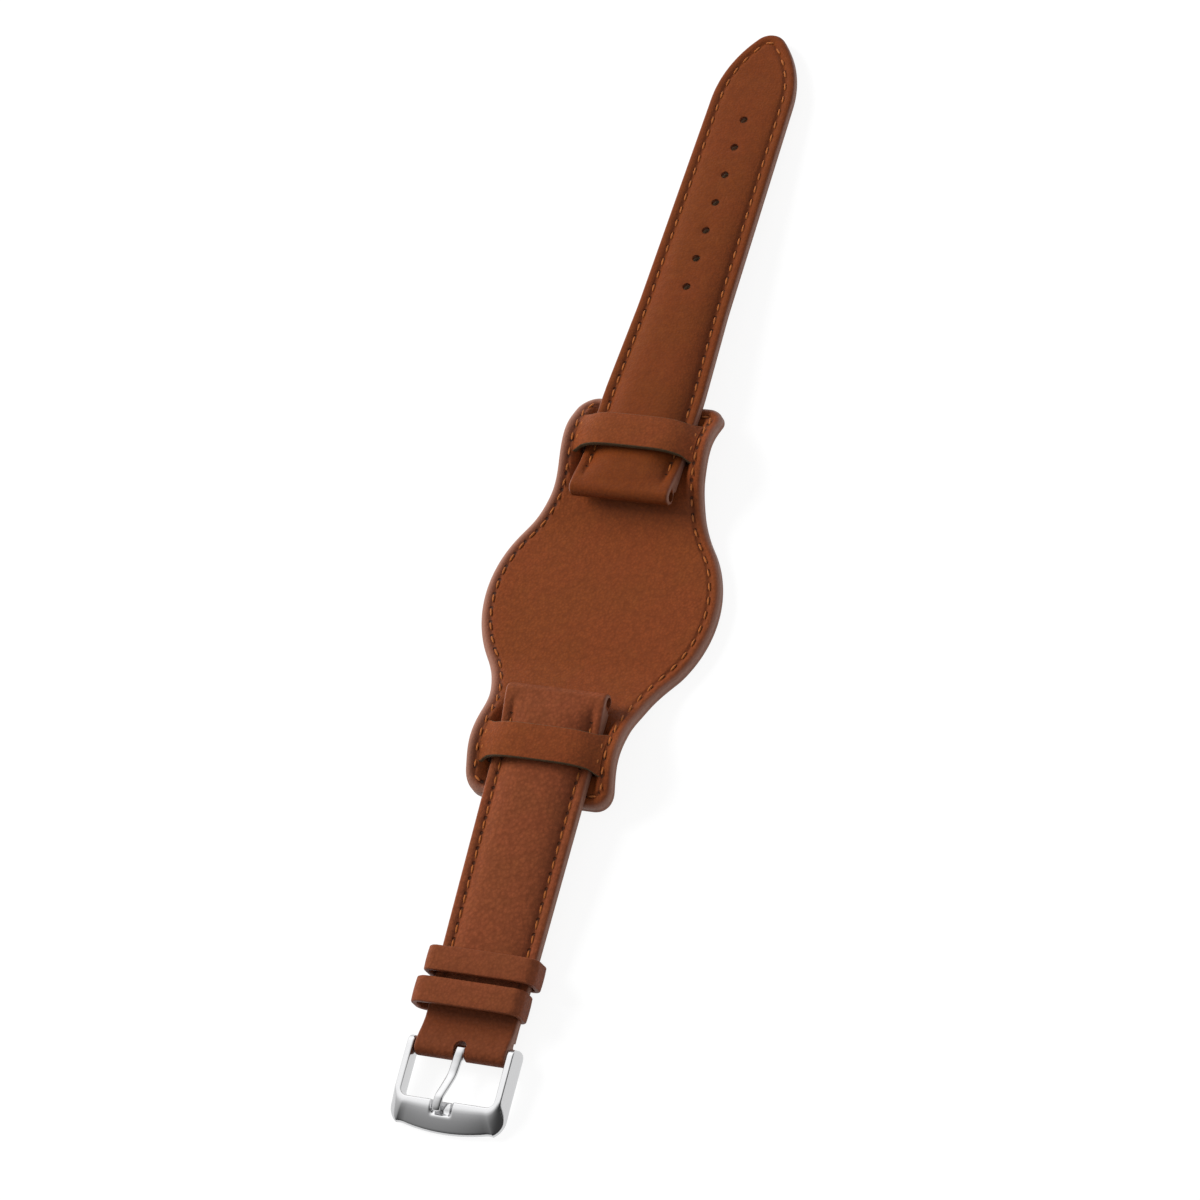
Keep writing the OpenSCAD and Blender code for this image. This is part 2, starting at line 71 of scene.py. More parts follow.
class StrapSizes(bpy.types.PropertyGroup):
    lug_w: length("Lug width", 22, "Width of both pieces at their lug ends")
    lug_gap: length("Lug gap", 42.6, "Gap between the two lug ends")
    shift: length("Threaded by", 0.6, "How far both pieces are threaded towards the buckle end")
    tail_l: length("Tail length", 114.5, "Tail piece from lug end to tip")
    tail_full_l: length("Full width length", 25, "Length over which the tail keeps its lug width")
    tail_mid_w: length("Middle width", 20, "Tail width where its quick taper ends")
    tail_mid_l: length("Taper length", 46, "Distance of that place from the lug end")
    tail_w: length("Tail width", 18.4, "Tail width where the point begins")
    point_r: length("Point radius", 24, "Radius of the long arcs beside the point")
    tip_r: length("Tip radius", 4, "Radius of the rounded tip")
    short_l: length("Buckle piece length", 78.9, "Buckle piece from lug end to fold")
    keeper_w: length("Width at keepers", 20.7, "Width of the buckle piece under the keepers")
    fold_w: length("Fold width", 19.8, "Width of the buckle piece at its fold")
    upper_t: length("Face leather", 0.95, "Thickness of the straps' face leather")
    edge_t: length("Edge thickness", 1.9, "Thickness of the straps at their edges")
    padding_w: length("Padding width", 16.8, "Width of the padding at the lug ends")
    high: length("Padding height", 2.2, "Height of the padding at the lug ends")
    low_tail: length("Padding at the point", 0.3, "Height of the padding where the point begins")
    low_short: length("Padding at keepers", 0.9, "Height of the padding at the keepers")
    roll_r: length("Lug end radius", 1.8, "Radius of the rolled lug ends")
    bore_r: length("Lug bore radius", 1.0, "Radius of the spring bar holes")
    hole_pitch: length("Hole pitch", 7, "Distance from hole to hole")
    first_hole: length("First hole", 22, "Distance from the tip to the first hole")
    hole_r: length("Hole radius", 0.85, "Radius of the adjustment holes")
    inset: length("Seam inset", 2.2, "Distance from an edge to the stitches")
    pitch: length("Stitch pitch", 3.2, "Distance from stitch to stitch")
    stitch_l: length("Stitch length", 1.8, "Visible length of one stitch")
    thread_d: length("Thread", 0.5, "Thickness of the thread")
    first_stitch: length("First stitch", 6.4, "Distance from a lug end to its first stitch")
    pebble: length("Pebble", 0.55, "Size of the leather's pebbles")
    hole_n: IntProperty(name="Holes", description="Number of adjustment holes", default=7, min=1, max=12)
    tail_tilt: droop("Tail droop", 3.0, "Droop of the tail piece")
    short_tilt: droop("Buckle droop", 4.0, "Droop of the buckle piece")


class PadSizes(bpy.types.PropertyGroup):
    pad_l: length("Pad length", 90, "Length of the backing pad")
    pad_r: length("Middle radius", 25.4, "Radius of its round middle")
    neck_w: length("Neck width", 32, "Width of its two necks")
    waist_r: length("Waist radius", 23, "Radius of the hollow between middle and neck")
    corner_r: length("Corner radius", 4, "Radius of its outer corners")
    face_t: length("Face leather", 1.4, "Thickness of the pad's face leather")
    lining_t: length("Lining leather", 1.4, "Thickness of the pad's lining leather")
    flat_half: length("Flat half length", 13, "Half length of its flat middle")
    rise_end: length("Rise end", 29, "Distance at which its ends have risen")
    rise_h: length("Rise", 3.0, "Height by which its ends rise")
    seat_z: length("Seat", 6.1, "Height at which the straps lie on the pad")
    bridge_y: length("Bridge from", 31.2, "Distance from the middle to a bridge")
    bridge_l: length("Bridge width", 7.4, "Width of a bridge along the strap")
    bridge_t: length("Bridge thickness", 1.2, "Thickness of a bridge")
    bridge_top: length("Bridge height", 5.65, "Height of a bridge's crown over the seat")
    slot_half: length("Slot half width", 12.3, "Half width of the slot under a bridge")
    curl: length("Margin curl", 4.0, "How far the neck margins stand up beside the straps")
    curl_at: length("Curl place", 35, "Distance from the middle at which the curl is highest")


class BuckleSizes(bpy.types.PropertyGroup):
    loop_r: length("Fold radius", 1.75, "Radius of the fold round the spring bar")
    bore_r: length("Fold bore radius", 0.83, "Radius of the room for the spring bar")
    frame_h: length("Frame height", 3.4, "Height of the frame")
    half: length("Inner half width", 10.05, "Half width between the frame's arms")
    arm_w: length("Arm width", 2.35, "Width of a frame arm")
    window_l: length("Window length", 10.45, "Spring bar to the front bar")
    front_l: length("Front bar depth", 6.0, "Depth of the front bar")
    bulge: length("Front bulge", 2.0, "Bulge of the front bar's outer edge")
    rear: length("Arm end", 0.4, "How far the arms reach behind the spring bar")
    corner_r: length("Corner radius", 4.0, "Radius of the frame's front corners")
    notch_w: length("Notch width", 4.4, "Width of the notch for the tongue")
    notch_aside: length("Notch offset", 0.7, "Distance of the notch from the middle")
    notch_d: length("Notch depth", 0.8, "Depth of the notch")
    tongue_w: length("Tongue width", 2.0, "Width of the tongue")
    tongue_t: length("Tongue thickness", 1.1, "Thickness of the tongue")
    tongue_bend: length("Tongue bend", 1.7, "Height of the tongue's bend")
    tongue_lean: length("Tongue lean", 1.6, "Sideways lean of the tongue's tip")
    keeper_l: length("Keeper width", 5.0, "Width of a keeper along the strap")
    keeper_t: length("Keeper thickness", 1.15, "Thickness of the keeper leather")
    keeper_half: length("Keeper half room", 10.85, "Half width of the room in a keeper")
    keeper_room: length("Keeper height", 4.3, "Height of the room in a keeper")
    keeper_y: length("Fixed keeper", 87.6, "Place of the fixed keeper along the piece")
    keeper_gap: length("Keeper gap", 1.6, "Gap between the two keepers")


class StrapColours(bpy.types.PropertyGroup):
    leather: tint("Leather", (0.213, 0.0510, 0.0112), "Saddle leather of the face")
    leather_red: tint("Leather, red", (0.224, 0.0495, 0.0122), "Its redder patches")
    # Also the tone of the painted shade in the seams' pressed lines and beyond the fixed keeper.
    leather_dark: tint("Leather, dark", (0.090, 0.0205, 0.0058), "Its grooves and pores")
    # Real edge paint; its pale tone is partly a painted highlight of the light from the left on the rounded
    # rims.
    edge: tint("Edge paint", (0.280, 0.132, 0.090), "Paint on the cut edges")
    raw: tint("Raw edge", (0.082, 0.056, 0.030), "Unpainted cut edges of the bridges")
    lining: tint("Lining", (0.330, 0.150, 0.070), "Lining leather")
    thread: tint("Thread", (0.390, 0.106, 0.013), "Waxed thread")
    steel: tint("Steel", (0.66, 0.66, 0.67), "Polished steel")
    felt: tint("Filler", (0.36, 0.27, 0.18), "Felt filler in the straps")
    floor: tint("Floor", (0.90, 0.90, 0.90), "Pale floor")


def fields(group):
    """The names of a group's own properties."""
    return [key for key in group.bl_rna.properties.keys() if key not in ("rna_type", "name")]


def settings():
    """The straps' and the pad's sizes in millimetres, and the values that follow from them."""
    scene = bpy.context.scene
    s = SimpleNamespace()
    for group in (scene.strap_sizes, scene.pad_sizes):
        for key in fields(group):
            value = getattr(group, key)
            setattr(s, key, value if key in ("hole_n", "tail_tilt", "short_tilt") else value * 1000)
    s.lug_y = s.lug_gap / 2
    s.roll_y = s.lug_y + s.roll_r
    s.tip_y = s.lug_y + s.tail_l
    s.fold_y = s.lug_y + s.short_l
    s.pad_t = s.face_t + s.lining_t
    s.back_t = s.edge_t - s.upper_t
    s.thread_up = s.thread_d * 0.22  # how far the stitches' middle stands over the leather
    s.tip_c = s.tip_y - s.tip_r
    s.shoulder_y = s.tip_c - sqrt((s.point_r - s.tip_r) ** 2 - (s.point_r - s.tail_w / 2) ** 2)
    s.point_turn = atan2(s.tip_c - s.shoulder_y, s.point_r - s.tail_w / 2)
    s.pad_cap = (s.padding_w ** 2 / 4 + s.high ** 2) / (2 * s.high)
    return s


def buckle_settings():
    """The buckle's sizes in millimetres, and the values that follow from them."""
    group = bpy.context.scene.buckle_sizes
    b = SimpleNamespace(**{key: getattr(group, key) * 1000 for key in fields(group)})
    s = settings()
    b.bar_y = s.fold_y - b.loop_r
    b.front_y = b.window_l + b.front_l
    b.ring_r = b.frame_h / 2 - 0.25
    b.frame_half = b.half + b.arm_w
    b.bulge_r = (b.frame_half ** 2 + b.bulge ** 2) / (2 * b.bulge)
    b.free_y = b.keeper_y - b.keeper_l - b.keeper_gap
    return b


def smooth(a, b, x):
    """Goes smoothly from 0 to 1 while x goes from a to b."""
    t = min(max((x - a) / (b - a), 0.0), 1.0)
    return t * t * (3 - 2 * t)


def bump(x, width):
    """A rounded hill of height 1 round x = 0."""
    return exp(-(x / width) ** 2)


def arc(cx, cy, r, a, b, n):
    """Points of an arc from angle a to angle b, in n steps."""
    return [(cx + r * cos(a + (b - a) * i / n), cy + r * sin(a + (b - a) * i / n)) for i in range(n + 1)]


def spaced(a, b, step):
    """Places from a to b, at most a step apart."""
    n = max(1, ceil(abs(b - a) / step - 1e-6))
    return [a + (b - a) * i / n for i in range(n + 1)]


def stretches(start, *ends):
    """Places from start through each end, at most that end's step apart."""
    places = [start]
    for end, step in ends:
        places += spaced(places[-1], end, step)[1:]
    return places


def seat_frame(s, end, shift=True):
    """Turns a point of a strap's own frame into the shared frame, in metres."""
    tilt = s.tail_tilt if end == "tail" else s.short_tilt
    away = (-s.shift if end == "tail" else s.shift) if shift else 0.0
    way = 1 if end == "tail" else -1

    def place(x, y, z):
        d = y + away - s.rise_end
        return (x * 0.001, way * (s.rise_end + d * cos(tilt) + z * sin(tilt)) * 0.001,
                (s.seat_z - d * sin(tilt) + z * cos(tilt)) * 0.001)

    return place


def cleaned(mesh, turn=True):
    """Merges doubled points, drops slivers, and points the faces outwards."""
    bm = bmesh.new()
    bm.from_mesh(mesh)
    bmesh.ops.remove_doubles(bm, verts=bm.verts, dist=2e-6)
    bmesh.ops.dissolve_degenerate(bm, edges=bm.edges, dist=1e-6)
    if turn:
        bmesh.ops.recalc_face_normals(bm, faces=bm.faces)
    bm.to_mesh(mesh)
    bm.free()


def placed(name, mesh):
    """An object of the mesh, in the scene."""
    obj = bpy.data.objects.new(name, mesh)
    bpy.context.scene.collection.objects.link(obj)
    return obj


def finish_mesh(name, points, faces, facts=None, sharp=38):
    """A closed mesh from points in metres, with its facts kept as attributes."""
    mesh = bpy.data.meshes.new(name)
    mesh.from_pydata([tuple(p) for p in points], [], faces)
    for key, values in (facts or {}).items():
        mesh.attributes.new(key, "FLOAT", "POINT").data.foreach_set("value", values)
    cleaned(mesh)
    mesh.shade_smooth()
    mesh.set_sharp_from_angle(angle=radians(sharp))
    return placed(name, mesh)


def baked(obj, sharp=38):
    """The object with its modifiers applied for good."""
    graph = bpy.context.evaluated_depsgraph_get()
    mesh = bpy.data.meshes.new_from_object(obj.evaluated_get(graph))
    obj.modifiers.clear()
    old = obj.data
    obj.data = mesh
    bpy.data.meshes.remove(old)
    mesh.name = obj.name
    cleaned(mesh, turn=False)
    mesh.shade_smooth()
    mesh.set_sharp_from_angle(angle=radians(sharp))
    return obj


def carve(obj, *tools, sharp=38):
    """Cuts the tools out of the object and removes them."""
    for tool in tools:
        cut = obj.modifiers.new("cut", "BOOLEAN")
        cut.operation = "DIFFERENCE"
        cut.solver = "EXACT"
        cut.object = tool
    baked(obj, sharp)
    for tool in tools:
        bpy.data.objects.remove(tool)
    return obj


def strip(a, c, width, flip=False, wrap=False):
    """The faces between two rows of points that start at a and c, closed to a ring by wrap."""
    quads = []
    for i in range(width if wrap else width - 1):
        j = (i + 1) % width
        quads.append((a + i, a + j, c + j, c + i))
    return [quad[::-1] for quad in quads] if flip else quads


def lofted(name, rings, facts=None, closed=False, sharp=50):
    """Joins rings of equally many points, capped at both ends unless closed."""
    n, m = len(rings[0]), len(rings)
    points = [p for ring in rings for p in ring]
    faces = []
    for k in range(m if closed else m - 1):
        faces += strip(k * n, (k + 1) % m * n, n, wrap=True)
    if not closed:
        faces += [tuple(range(n)), tuple(range((m - 1) * n, m * n))[::-1]]
    return finish_mesh(name, points, faces, facts, sharp)


def prism(name, plan, low, high, place):
    """A cutter: a drawing in x and y between two heights."""
    return lofted(name, [[place(x, y, z) for x, y in plan] for z in (low, high)])


def cross_rod(name, y, z, r, half, place, n=32):
    """A cutter: a rod along x."""
    ring = arc(y, z, r, 0, 2 * pi, n)[:-1]
    return lofted(name, [[place(x, cy, cz) for cy, cz in ring] for x in (-half, half)])


# Distances from a leather's edge, in millimetres, at which its face has points: close at the rounded
# edge and on both sides of the seam's groove. Further in, they are shares of what is left to the middle.
BAND = (0, 0.07, 0.18, 0.34, 0.55, 0.85, 1.2, 1.55, 1.85, 2.05, 2.2, 2.35, 2.55, 2.75, 2.95, 3.2, 3.5)
INNER = (0.9, 0.8, 0.7, 0.6, 0.5, 0.4, 0.3, 0.2, 0.1)


def columns():
    """Columns across a strap from its right edge: side, inset in the band, share of the middle."""
    right = [(1, d, 1.0) for d in BAND] + [(1, BAND[-1], f) for f in INNER]
    left = [(-1, d, f) for _, d, f in reversed(right)]
    return right + [(1, BAND[-1], 0.0)] + left


def edge_round(d, r=0.7):
    """How far a face rounded with r lies below its height, d inside its edge."""
    return r - sqrt(r * r - (r - d) ** 2) if d < r else 0.0


def seam_relief(d, ridge, groove, width):
    """The ridge outside a seam and the pressed line along it, d inside the edge."""
    return ridge * bump(d - 1.0, 0.65) - groove * bump(d - 2.2, width)


INWARDS = 9.0    # the inset of a place that no seam can reach
NO_SEAM = 99.0   # the stitch number where no seam runs
UNSEWN = -9.0    # the same under the lug end, before the seam


def hole_ys(s):
    """Places of the adjustment holes along the tail, from the tip inwards."""
    return [s.tip_y - s.first_hole - i * s.hole_pitch for i in range(s.hole_n)]


class Strap:
    """The shape of one strap piece, row by row from under its lug end to its far end."""
    point_flat = 11   # length without padding before the tip
    keeper_gap = 0.8  # between the padding and the fixed keeper
    roll_gap = 0.2    # between the rolled lug end and the first row of the underside
    fold_gap = 0.8    # between the last row of the underside and the fold round the bar

    def __init__(self, s, end, b):
        self.s, self.b, self.end = s, b, end
        tail = end == "tail"
        self.low_y = s.shoulder_y if tail else b.free_y
        self.low = s.low_tail if tail else s.low_short
        self.pad_end = s.tip_y - self.point_flat if tail else b.keeper_y - b.keeper_l / 2 - self.keeper_gap
        self.seam_from = s.lug_y + s.first_stitch
        self.seam_to = 1e3 if tail else b.free_y + b.keeper_l / 4
        self.cap_from = s.roll_y + s.roll_r + self.roll_gap
        self.fold_from = b.bar_y - b.loop_r - self.fold_gap
        rows = [("roll", radians(a)) for a in range(305, 91, -11)]
        near = ((self.cap_from, 0.4), (s.roll_y + 7, 0.5))
        if tail:
            last_hole, first_hole = hole_ys(s)[-1], hole_ys(s)[0]
            ys = stretches(s.roll_y, *near, (last_hole - 3, 1.6), (first_hole + 3, 0.5), (s.shoulder_y, 1.2))
            rows += [("y", y) for y in ys]
            rows += [("arc", s.point_turn * i / 16) for i in range(1, 16)]
            rows += [("tip", s.point_turn + (pi / 2 - s.point_turn) * i / 14) for i in range(15)]
        else:
            ys = stretches(s.roll_y, *near, (self.fold_from, 1.2), (b.bar_y, 0.4))
            rows += [("y", y) for y in ys]
            rows += [("fold", radians(a)) for a in range(80, -91, -10)]
            rows += [("under", y) for y in spaced(b.bar_y, self.fold_from, 0.6)[1:]]
        self.rows = rows

    def half(self, y):
        """Half width of the piece, its corners eased."""
        s, b = self.s, self.b
        if self.end == "tail":
            knots = ((s.lug_y, s.lug_w), (s.lug_y + s.tail_full_l, s.lug_w),
                     (s.lug_y + s.tail_mid_l, s.tail_mid_w), (s.shoulder_y, s.tail_w), (1e3, s.tail_w))
        else:
            knots = ((s.lug_y, s.lug_w), (b.free_y, s.keeper_w),
                     (b.keeper_y + b.keeper_l / 2, s.fold_w), (1e3, s.fold_w))

        def at(v):
            for (y0, w0), (y1, w1) in zip(knots, knots[1:]):
                if v <= y1:
                    return (w0 + (w1 - w0) * max(0.0, v - y0) / (y1 - y0)) / 2
            return knots[-1][1] / 2

        return (at(y - 1.5) + 2 * at(y) + at(y + 1.5)) / 4

    def filler_top(self, x, y):
        """The padding's height under the face, or the lining's where there is none."""
        s = self.s
        if not s.roll_y + 2.4 <= y <= self.pad_end + 0.1:
            return s.back_t
        sink = (s.high - self.low) / (self.low_y - s.lug_y)
        cap = s.pad_cap
        z = s.back_t + s.high - cap - (y - s.lug_y) * sink + sqrt(max(cap * cap - x * x, 0.0))
        return max(s.back_t, z + 0.04)

    def height(self, x, y, d):
        """Height of the face over the back, d inside the edge."""
        s, b = self.s, self.b
        lip = 2 * s.roll_r
        margin = s.edge_t + (lip - s.edge_t) * (1 - smooth(s.roll_y - 0.5, s.roll_y + 8.5, y))
        crown_h = s.high + (self.low - s.high) * (y - s.lug_y) / (self.low_y - s.lug_y)
        crown_h = max(crown_h, 0.0) * (1 - smooth(self.pad_end - 4, self.pad_end + 1.5, y))
        crown = lip + (s.edge_t + crown_h - lip) * smooth(s.roll_y, s.roll_y + 4.2, y)
        t = min(max((d - 2.7) / (self.half(min(y, self.low_y)) - 2.7), 0.0), 1.0)
        z = margin + (crown - margin) * (1 - (1 - t) ** 3.2) ** 0.85
        seam = smooth(self.seam_from - 3.4, self.seam_from - 0.6, y)
        seam *= 1 - smooth(self.seam_to - 1, self.seam_to + 1, y)
        z += seam * seam_relief(d, ridge=0.10, groove=0.30, width=0.45)
        if self.end == "tail":
            for hy in hole_ys(s):
                if abs(y - hy) < 3:
                    z -= 0.13 * bump(hypot(x, y - hy) - s.hole_r, 0.42)
        else:
            z += (2 * b.loop_r - s.edge_t) * smooth(b.keeper_y + b.keeper_l / 2 + 1.4, b.bar_y, y)
        return max(z, self.filler_top(x, y) + 0.5) - edge_round(d)

    def plan(self, kind, v, d):
        """x and y of a row where it is d inside the edge."""
        s, b = self.s, self.b
        if kind == "roll":
            return s.lug_w / 2 - d, s.roll_y
        if kind in ("fold", "under"):
            return s.fold_w / 2 - d, b.bar_y if kind == "fold" else v
        if kind == "y":
            return self.half(v) - d, v
        if kind == "arc":
            r = s.point_r - d
            return s.tail_w / 2 - s.point_r + r * cos(v), s.shoulder_y + r * sin(v)
        return (s.tip_r - d) * cos(v), s.tip_c + (s.tip_r - d) * sin(v)

    def spot(self, row, column, under=False):
        """One point of the face leather: its place in the strap's frame and its inset."""
        kind, v = row
        side, d, share = column
        x, y = self.plan(kind, v, d)
        deep = d + x * (1 - share)
        x *= share
        if under:
            return (side * x, y, self.filler_top(x, y) if share < 1 or d > 2 else self.s.back_t), deep
        if kind in ("roll", "fold"):
            cy, cr = (self.s.roll_y, self.s.roll_r) if kind == "roll" else (self.b.bar_y, self.b.loop_r)
            r = cr - edge_round(deep)
            return (side * x, cy + r * cos(v), cr + r * sin(v)), deep
        if kind == "under":
            return (side * x, y, edge_round(deep)), deep
        return (side * x, y, self.height(x, y, deep)), deep

    def seam(self):
        """Right side of the seam: points, and the stitch number at each row."""
        s = self.s
        points, runs, run, last = [], [], 0.0, None
        for kind, v in self.rows:
            if kind in ("roll", "fold", "under"):
                runs.append(UNSEWN if kind == "roll" else NO_SEAM)
                continue
            x, y = self.plan(kind, v, s.inset)
            if y > self.seam_to + 1.5:
                runs.append(NO_SEAM)
                continue
            if last is not None and y > self.seam_from and last[1] < self.seam_to:
                y0, y1 = max(last[1], self.seam_from), min(y, self.seam_to)
                share = 1.0 if kind in ("arc", "tip") else (y1 - y0) / max(y - last[1], 1e-6)
                run += hypot(x - last[0], y - last[1]) * share
            if self.seam_from <= y <= self.seam_to:
                points.append((x, y, self.height(x, y, s.inset) + s.thread_up))
            runs.append(run)
            last = (x, y)
        n = max(1, round(run / s.pitch))
        return points, [r * n / run if 0 <= r < NO_SEAM else r for r in runs], n

    def face(self, name, place):
        """The face leather: its visible side from under the lug end, and its underside where it is flat."""
        cols = columns()
        _, runs, _ = self.seam()
        points, faces, facts = [], [], {"inset": [], "run": [], "edge": [], "fold": []}
        loop = self.b.keeper_y + self.b.keeper_l / 2

        def add(row, k, under):
            start = len(points)
            for column in cols:
                (x, y, z), deep = self.spot(row, column, under)
                points.append(place(x, y, z))
                facts["inset"].append(INWARDS if under else deep)
                facts["run"].append(runs[k])
                facts["edge"].append(1.0 if under else max(0.0, 1 - deep / 0.6))
                # Painted shade: the face darkens just beyond the fixed keeper, where the keeper's shadow
                # falls, and lightens a little towards the bar.
                painted_keeper_shade = 0.0 if self.end == "tail" or under else smooth(loop - 1.0, loop + 1.2, y)
                facts["fold"].append(painted_keeper_shade * (1 - 0.4 * smooth(loop + 2, self.b.bar_y, y)))
            return start

        top = [add(row, k, False) for k, row in enumerate(self.rows)]
        stays = [k for k, (kind, v) in enumerate(self.rows)
                 if kind in ("arc", "tip") or kind == "y" and v >= self.cap_from - 1e-6
                 and (self.end == "tail" or v <= self.fold_from + 1e-6)]
        low = {k: add(self.rows[k], k, True) for k in stays}
        width = len(cols)
        for a, c in zip(top, top[1:]):
            faces += strip(a, c, width)
        for k in stays[:-1]:
            faces += strip(low[k], low[k + 1], width, flip=True)
            for j in (0, width - 1):
                quad = (top[k] + j, top[k + 1] + j, low[k + 1] + j, low[k] + j)
                faces.append(quad if j == 0 else quad[::-1])
        first, last = stays[0], stays[-1]
        faces += strip(top[0], low[first], width)
        for j in (0, width - 1):
            faces.append([top[k] + j for k in range(first + 1)] + [low[first] + j])
        if self.end != "tail":
            faces += strip(top[-1], low[last], width)
            for j in (0, width - 1):
                faces.append([top[k] + j for k in range(last, len(top))] + [low[last] + j])
        return finish_mesh(name, points, faces, facts)

    def lining(self, name, place):
        """The back leather: a flat sheet with a rounded lower edge."""
        rows = [(kind, v) for kind, v in self.rows if kind in ("arc", "tip") or kind == "y"
                and self.cap_from <= v and (self.end == "tail" or v <= self.fold_from - 0.15)]
        cols = [(1, d, 1.0) for d in (0, 0.05, 0.14, 0.26, 0.4, 1.2, 2.2, 3.5)]
        cols += [(1, 3.5, f) for f in (0.7, 0.4)]
        cols = cols + [(1, 3.5, 0.0)] + [(-1, d, f) for _, d, f in reversed(cols)]
        points, faces, edge = [], [], []
        width = len(cols)
        for low in (True, False):
            for kind, v in rows:
                for side, d, share in cols:
                    x, y = self.plan(kind, v, d)
                    z = edge_round(d, 0.4) if low else self.s.back_t
                    points.append(place(side * x * share, y, z))
                    edge.append(1.0 if not low or d < 0.1 else 0.0)
        n = len(rows)
        for start, flip in ((0, True), (n, False)):
            for i in range(start, start + n - 1):
                faces += strip(i * width, (i + 1) * width, width, flip)
        for i in range(n - 1):
            for j in (0, width - 1):
                a, c = i * width + j, (n + i) * width + j
                faces.append((a, a + width, c + width, c) if j == 0 else (a, c, c + width, a + width))
        ends = (0,) if self.end == "tail" else (0, n - 1)
        for i in ends:
            for j in range(width - 1):
                a, c = i * width + j, (n + i) * width + j
                faces.append((a, c, c + 1, a + 1))
        return finish_mesh(name, points, faces, {"edge": edge})


def tail_holes(s, place):
    """Cutters for the adjustment holes."""
    return [prism("hole_cutter", arc(0, y, s.hole_r, 0, 2 * pi, 28)[:-1], -1, 7, place) for y in hole_ys(s)]


def seam_path(name, run, place):
    """A line mesh for the stitches, with the way up stored on its points."""
    points = [Vector(place(*p)) for p in run]
    ups = [(Vector(place(x, y, z + 1)) - base).normalized() for base, (x, y, z) in zip(points, run)]
    mesh = bpy.data.meshes.new(name)
    mesh.from_pydata([tuple(p) for p in points], [(i, i + 1) for i in range(len(run) - 1)], [])
    up = mesh.attributes.new("up", "FLOAT_VECTOR", "POINT")
    up.data.foreach_set("vector", [c for v in ups for c in v])
    return placed(name, mesh)


def rise(s, y):
    """Height of the pad's back, whose ends rise towards the straps."""
    d = abs(y)
    slope = tan(s.tail_tilt if y > 0 else s.short_tilt)
    run = s.rise_end - s.flat_half
    u = (d - s.flat_half) / run
    if d <= s.flat_half:
        return 0.0
    if d >= s.rise_end:
        return s.rise_h - (d - s.rise_end) * slope
    return s.rise_h * (3 * u * u - 2 * u ** 3) + slope * run * (u * u - u ** 3)


def curl(s, x, y):
    """How far the neck margins stand up at a place of the pad."""
    off = abs(y) - s.curl_at
    reach = 13.0 if off < 0 else 11.0  # it dies out more slowly towards the middle
    if abs(off) >= reach:
        return 0.0
    side = 0.9 * smooth(s.slot_half - 1.1, s.slot_half + 1.2, abs(x))
    side += 0.1 * smooth(s.slot_half + 1.2, s.neck_w / 2, abs(x))
    return s.curl * side * cos(pi / 2 * off / reach) ** 2


def pad_sides(s, d):
    """Right side upwards and far end leftwards, d inside the pad's edge."""
    cx = s.neck_w / 2 + s.waist_r
    wy = sqrt((s.pad_r + s.waist_r) ** 2 - cx ** 2)
    turn = atan2(wy, cx)
    top = s.pad_l / 2 - s.corner_r
    up = arc(0, 0, s.pad_r - d, 0, turn, 26)
    up += arc(cx, wy, s.waist_r + d, pi + turn, pi, 18)[1:]
    up += [(s.neck_w / 2 - d, y) for y in spaced(wy, top, 0.8)[1:]]
    corner = arc(s.neck_w / 2 - s.corner_r, top, s.corner_r - d, 0, pi / 2, 12)
    up += corner[1:7]
    far = corner[6:]
    inner = s.neck_w / 2 - s.corner_r
    far += [(x, s.pad_l / 2 - d) for x in (inner - 0.35, inner - 0.8, inner - 1.4, inner - 2.2)]
    far += [(x, s.pad_l / 2 - d) for x in spaced(inner - 3.4, 0, 1.4)]
    right = [(x, -y) for x, y in reversed(up[1:])] + up
    return right, far + [(-x, y) for x, y in reversed(far[:-1])]


def pad_loop(s, d):
    """The pad's outline, d inside its edge, all the way round."""
    right, far = pad_sides(s, d)
    left = [(-x, y) for x, y in reversed(right)]
    near = [(-x, -y) for x, y in far]
    return right + far[1:] + left[1:] + near[1:-1]


